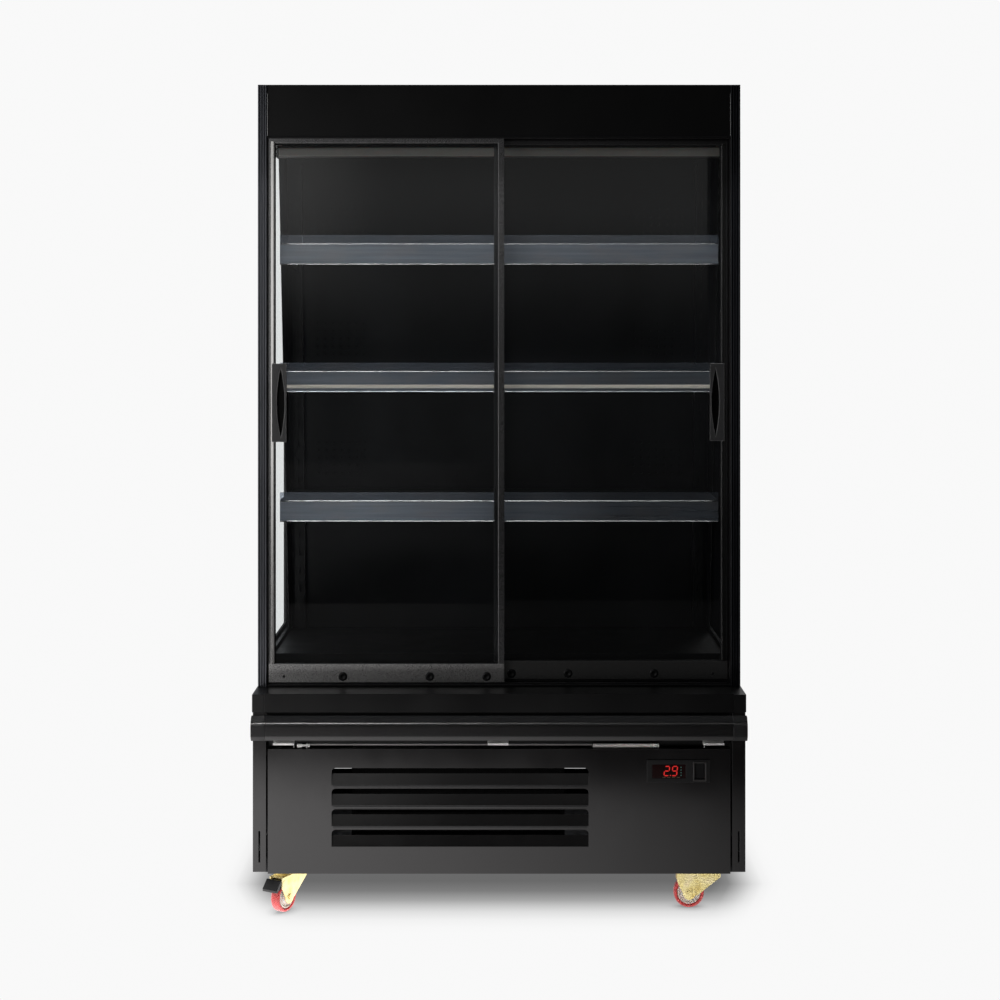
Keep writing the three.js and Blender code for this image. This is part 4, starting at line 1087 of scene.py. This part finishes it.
spins = {joint["child"]: joint for joint in frame["joints"]}
for corner in CORNERS:
    castor_wheel(corner, spins[f"castor_{corner}_wheel"])


# -------- studio

BACKGROUND = 0.945
CAMERA_DISTANCE = 4.71
CAMERA_HEIGHT = 1.4478
CAMERA_DROP = -0.18
CAMERA_SIDE = 0.0009


def studio_world():
    """Pale where the camera sees it. In reflections it is dim in front, and brighter to the left and back."""
    world = bpy.data.worlds.new("studio")
    bpy.context.scene.world = world
    world.use_nodes = True
    s = Shader(world, "OutputWorld")
    direction = s.node("TexCoord").outputs["Generated"]
    x, y = (s.axis(letter, direction) for letter in "XY")
    sideways = s.spread(x, 1.0, 0.16, -0.7, 0.6, smooth=True)
    behind = s.spread(y, 0.05, 0.55, -0.80, 0.10, smooth=True)
    level = s.maths("MULTIPLY", sideways, behind)
    seen = s.node("LightPath").outputs["Is Camera Ray"]
    strength = s.spread(seen, 0.0, BACKGROUND)
    light = s.node("Background", {"Color": rgba((0.93, 0.96, 1.0)), "Strength": level}).outputs[0]
    plain = s.node("Background", {"Color": rgba((1, 1, 1)), "Strength": strength}).outputs[0]
    s.surface(s.mixed(seen, light, plain))


# How light the floor's painted shadow is across each of its edges, as (place, level), and between which two
# places.
FRONT_SHADOW = ((0.0, 1.0), (0.11, 0.985), (0.24, 0.93), (0.39, 0.76), (0.50, 0.56), (0.615, 0.33),
                (0.80, 0.13), (1.0, 0.06))
SIDE_SHADOW = ((0.0, 0.05), (0.22, 0.16), (0.39, 0.42), (0.57, 0.74), (0.72, 0.93), (0.86, 0.985), (1.0, 1.0))
FLOOR_HALF = 14.0
FRONT_REACH, SIDE_REACH, BACK_REACH = (-0.45, -0.05), (0.55, 0.73), (0.28, 0.52)


def studio_sheet(name, x, y, material):
    """A flat sheet about the origin that isn't part of the case. x and y are half its sides."""
    mesh = bpy.data.meshes.new(name)
    mesh.from_pydata([(-x, -y, 0), (x, -y, 0), (x, y, 0), (-x, y, 0)], [], [(0, 1, 2, 3)])
    mesh.materials.append(material)
    sheet = start_object(name, mesh)
    sheet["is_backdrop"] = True
    return sheet


def studio_floor():
    """Pale floor that fades into the surround, with a painted soft shadow under the case and a painted
    contact shadow where parts come close to it. In reflections it is bright close to the case, dimmer further
    out, and dark on the right."""
    s = start_material("studio_floor")
    x, y = s.axis("X"), s.axis("Y")
    wide = s.maths("ADD", s.maths("ABSOLUTE", x), s.spread(y, 0.116, 0.0, -0.45, -0.076))
    edges = ((y, FRONT_REACH, FRONT_SHADOW), (wide, SIDE_REACH, SIDE_SHADOW), (y, BACK_REACH, SIDE_SHADOW))
    shaded = 1.0
    for place, reach, levels in edges:
        stops = [(part, (level, level, level)) for part, level in levels]
        light = s.ramp(s.spread(place, 0.0, 1.0, *reach), stops)
        shaded = s.maths("MULTIPLY", shaded, s.maths("SUBTRACT", 1.0, light))
    # Painted contact shadow: the floor is darker where parts of the case come close.
    contact_shadow = s.node("AmbientOcclusion", {"Distance": 0.045}, samples=8).outputs["AO"]
    shown = s.maths("MULTIPLY", s.maths("SUBTRACT", 1.0, shaded), s.spread(contact_shadow, 0.5, 1.0, 0.25, 0.85))
    shown = s.maths("MULTIPLY", shown, BACKGROUND)
    edge = s.maths("ADD", s.maths("MULTIPLY", x, 0.27), -1.62)
    near = s.spread(s.maths("SUBTRACT", y, edge), 0.0, 1.0, -0.10, 0.10, smooth=True)
    level = s.maths("MULTIPLY", near, s.spread(x, 1.30, 0.22, -0.75, 0.72))
    level = s.maths("MULTIPLY", level, s.spread(y, 1.0, 0.2, -0.3, 0.4))
    level = s.maths("MULTIPLY", level, s.spread(y, 1.0, 2.4, -0.42, -0.32))
    far = s.spread(x, 0.06, 0.02, -1.0, 0.3, smooth=True)
    level = s.maths("MAXIMUM", level, far)
    seen = s.node("LightPath").outputs["Is Camera Ray"]
    plain = s.node("Emission", {"Color": rgba((1, 1, 1)), "Strength": shown}).outputs[0]
    mirrored = s.node("Emission", {"Color": rgba((1.0, 0.975, 0.975)), "Strength": level}).outputs[0]
    material = s.surface(s.mixed(seen, mirrored, plain))
    studio_sheet("studio_floor", FLOOR_HALF, FLOOR_HALF, material)


def softbox(name, centre, look_at, width, height, strength, across=None, rising=None, doors=None):
    """A glowing panel that the camera doesn't see. Seen from the case, across fades it from the right
    (level, level, start, end as parts of the width) and rising fades it from the foot in the same way.
    Barn doors (depth, low, high, blur) keep its beam between two heights where it crosses that depth."""
    s = start_material(name)
    level = strength
    for letter, size, fade in (("X", width, across), ("Y", height, rising)):
        if fade:
            first, last, start, end = fade
            part = s.spread(s.axis(letter), first, last, start * size, end * size, smooth=True)
            level = s.maths("MULTIPLY", level, part)
    if doors:
        depth, low, high, blur = doors
        geometry = s.node("NewGeometry").outputs
        ahead, up = (s.axis(letter, geometry["Incoming"]) for letter in "YZ")
        from_y, from_z = (s.axis(letter, geometry["Position"]) for letter in "YZ")
        reach = s.maths("DIVIDE", s.maths("SUBTRACT", depth, from_y), ahead)
        crossing = s.maths("ADD", from_z, s.maths("MULTIPLY", up, reach))
        level = s.maths("MULTIPLY", level, s.spread(crossing, 0.0, 1.0, low - blur, low + blur))
        level = s.maths("MULTIPLY", level, s.spread(crossing, 1.0, 0.0, high - blur, high + blur))
    light = s.node("Emission", {"Color": rgba((1.0, 0.99, 0.98)), "Strength": level}).outputs[0]
    material = s.surface(light)
    panel = studio_sheet(name, width / 2, height / 2, material)
    aim = (Vector(look_at) - Vector(centre)).to_track_quat("Z", "Y")
    panel.matrix_world = Matrix.Translation(centre) @ aim.to_matrix().to_4x4()
    panel.visible_camera = False
    panel.visible_shadow = False


def studio_camera():
    """Level camera in front of the case, shifted up the picture without tilting. The shift only holds at
    this place, so views from elsewhere stay centred."""
    data = bpy.data.cameras.new("camera")
    data.lens = 65
    data.sensor_width = 36
    data.shift_x = CAMERA_SIDE
    camera = start_object("camera", data)
    camera.location = (0, -CAMERA_DISTANCE, CAMERA_HEIGHT)
    camera.rotation_euler = (math.radians(90), 0, 0)
    driver = data.driver_add("shift_y").driver
    driver.type = "SCRIPTED"
    for name, channel in (("y", "LOC_Y"), ("z", "LOC_Z")):
        variable = driver.variables.new()
        variable.name = name
        variable.type = "TRANSFORMS"
        variable.targets[0].id = camera
        variable.targets[0].transform_type = channel
        variable.targets[0].transform_space = "WORLD_SPACE"
    near = 0.0005
    at_home = f"abs(z - {CAMERA_HEIGHT}) < {near} and abs(y + {CAMERA_DISTANCE}) < {near}"
    driver.expression = f"{CAMERA_DROP} if {at_home} else 0"
    bpy.context.scene.camera = camera


studio_world()
studio_floor()
softbox("front_left_softbox", (-2.4, -4.6, 1.4), (-2.4, 0, 1.4), 2.6, 2.2, 1.05,
        across=(0.0, 1.0, -0.5, -0.30))
softbox("front_high_softbox", (-0.275, -4.75, 1.7), (-0.275, 0, 1.7), 2.65, 1.2, 0.50,
        across=(0.39, 1.0, 0.10, 0.30), rising=(0.0, 1.0, -0.35, 0.4))
softbox("shelf_strip_light", (0, -2.2, 3.3), (0, -0.11, 1.35), 2.4, 0.5, 15.0,
        across=(0.25, 1.0, -0.5, 0.4), doors=(-0.114, 0.90, 1.70, 0.03))
softbox("base_strip_light", (0, -3.6, 2.7), (0, -0.35, 0.44), 2.4, 0.4, 45.0,
        across=(0.04, 1.0, 0.1, 0.4), doors=(-0.345, 0.414, 0.50, 0.003))
softbox("louvre_softbox", (0, -3.65, 2.93), (0, -0.35, 0.27), 2.4, 0.8, 0.80,
        across=(0.22, 1.0, 0.10, 0.30), doors=(-0.345, 0.10, 0.400, 0.003))
softbox("castor_softbox", (0, -3.0, 0.5), (0, -0.2, 0.04), 2.4, 0.4, 9.0, doors=(-0.30, -0.5, 0.098, 0.004))
softbox("left_softbox", (-3.2, -1.2, 1.6), (0, 0, 1.1), 1.4, 2.2, 1.6)
softbox("right_softbox", (3.0, 1.2, 1.6), (0, 0, 1.1), 0.6, 2.2, 0.8)
softbox("back_softbox", (1.8, 3.4, 2.6), (0, 0, 1.1), 1.6, 1.6, 1.6)
studio_camera()

scene = bpy.context.scene
scene.view_settings.view_transform = "Standard"
scene.view_settings.look = "None"
scene.cycles.transparent_max_bounces = 24
scene.cycles.max_bounces = 6

low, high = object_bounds()
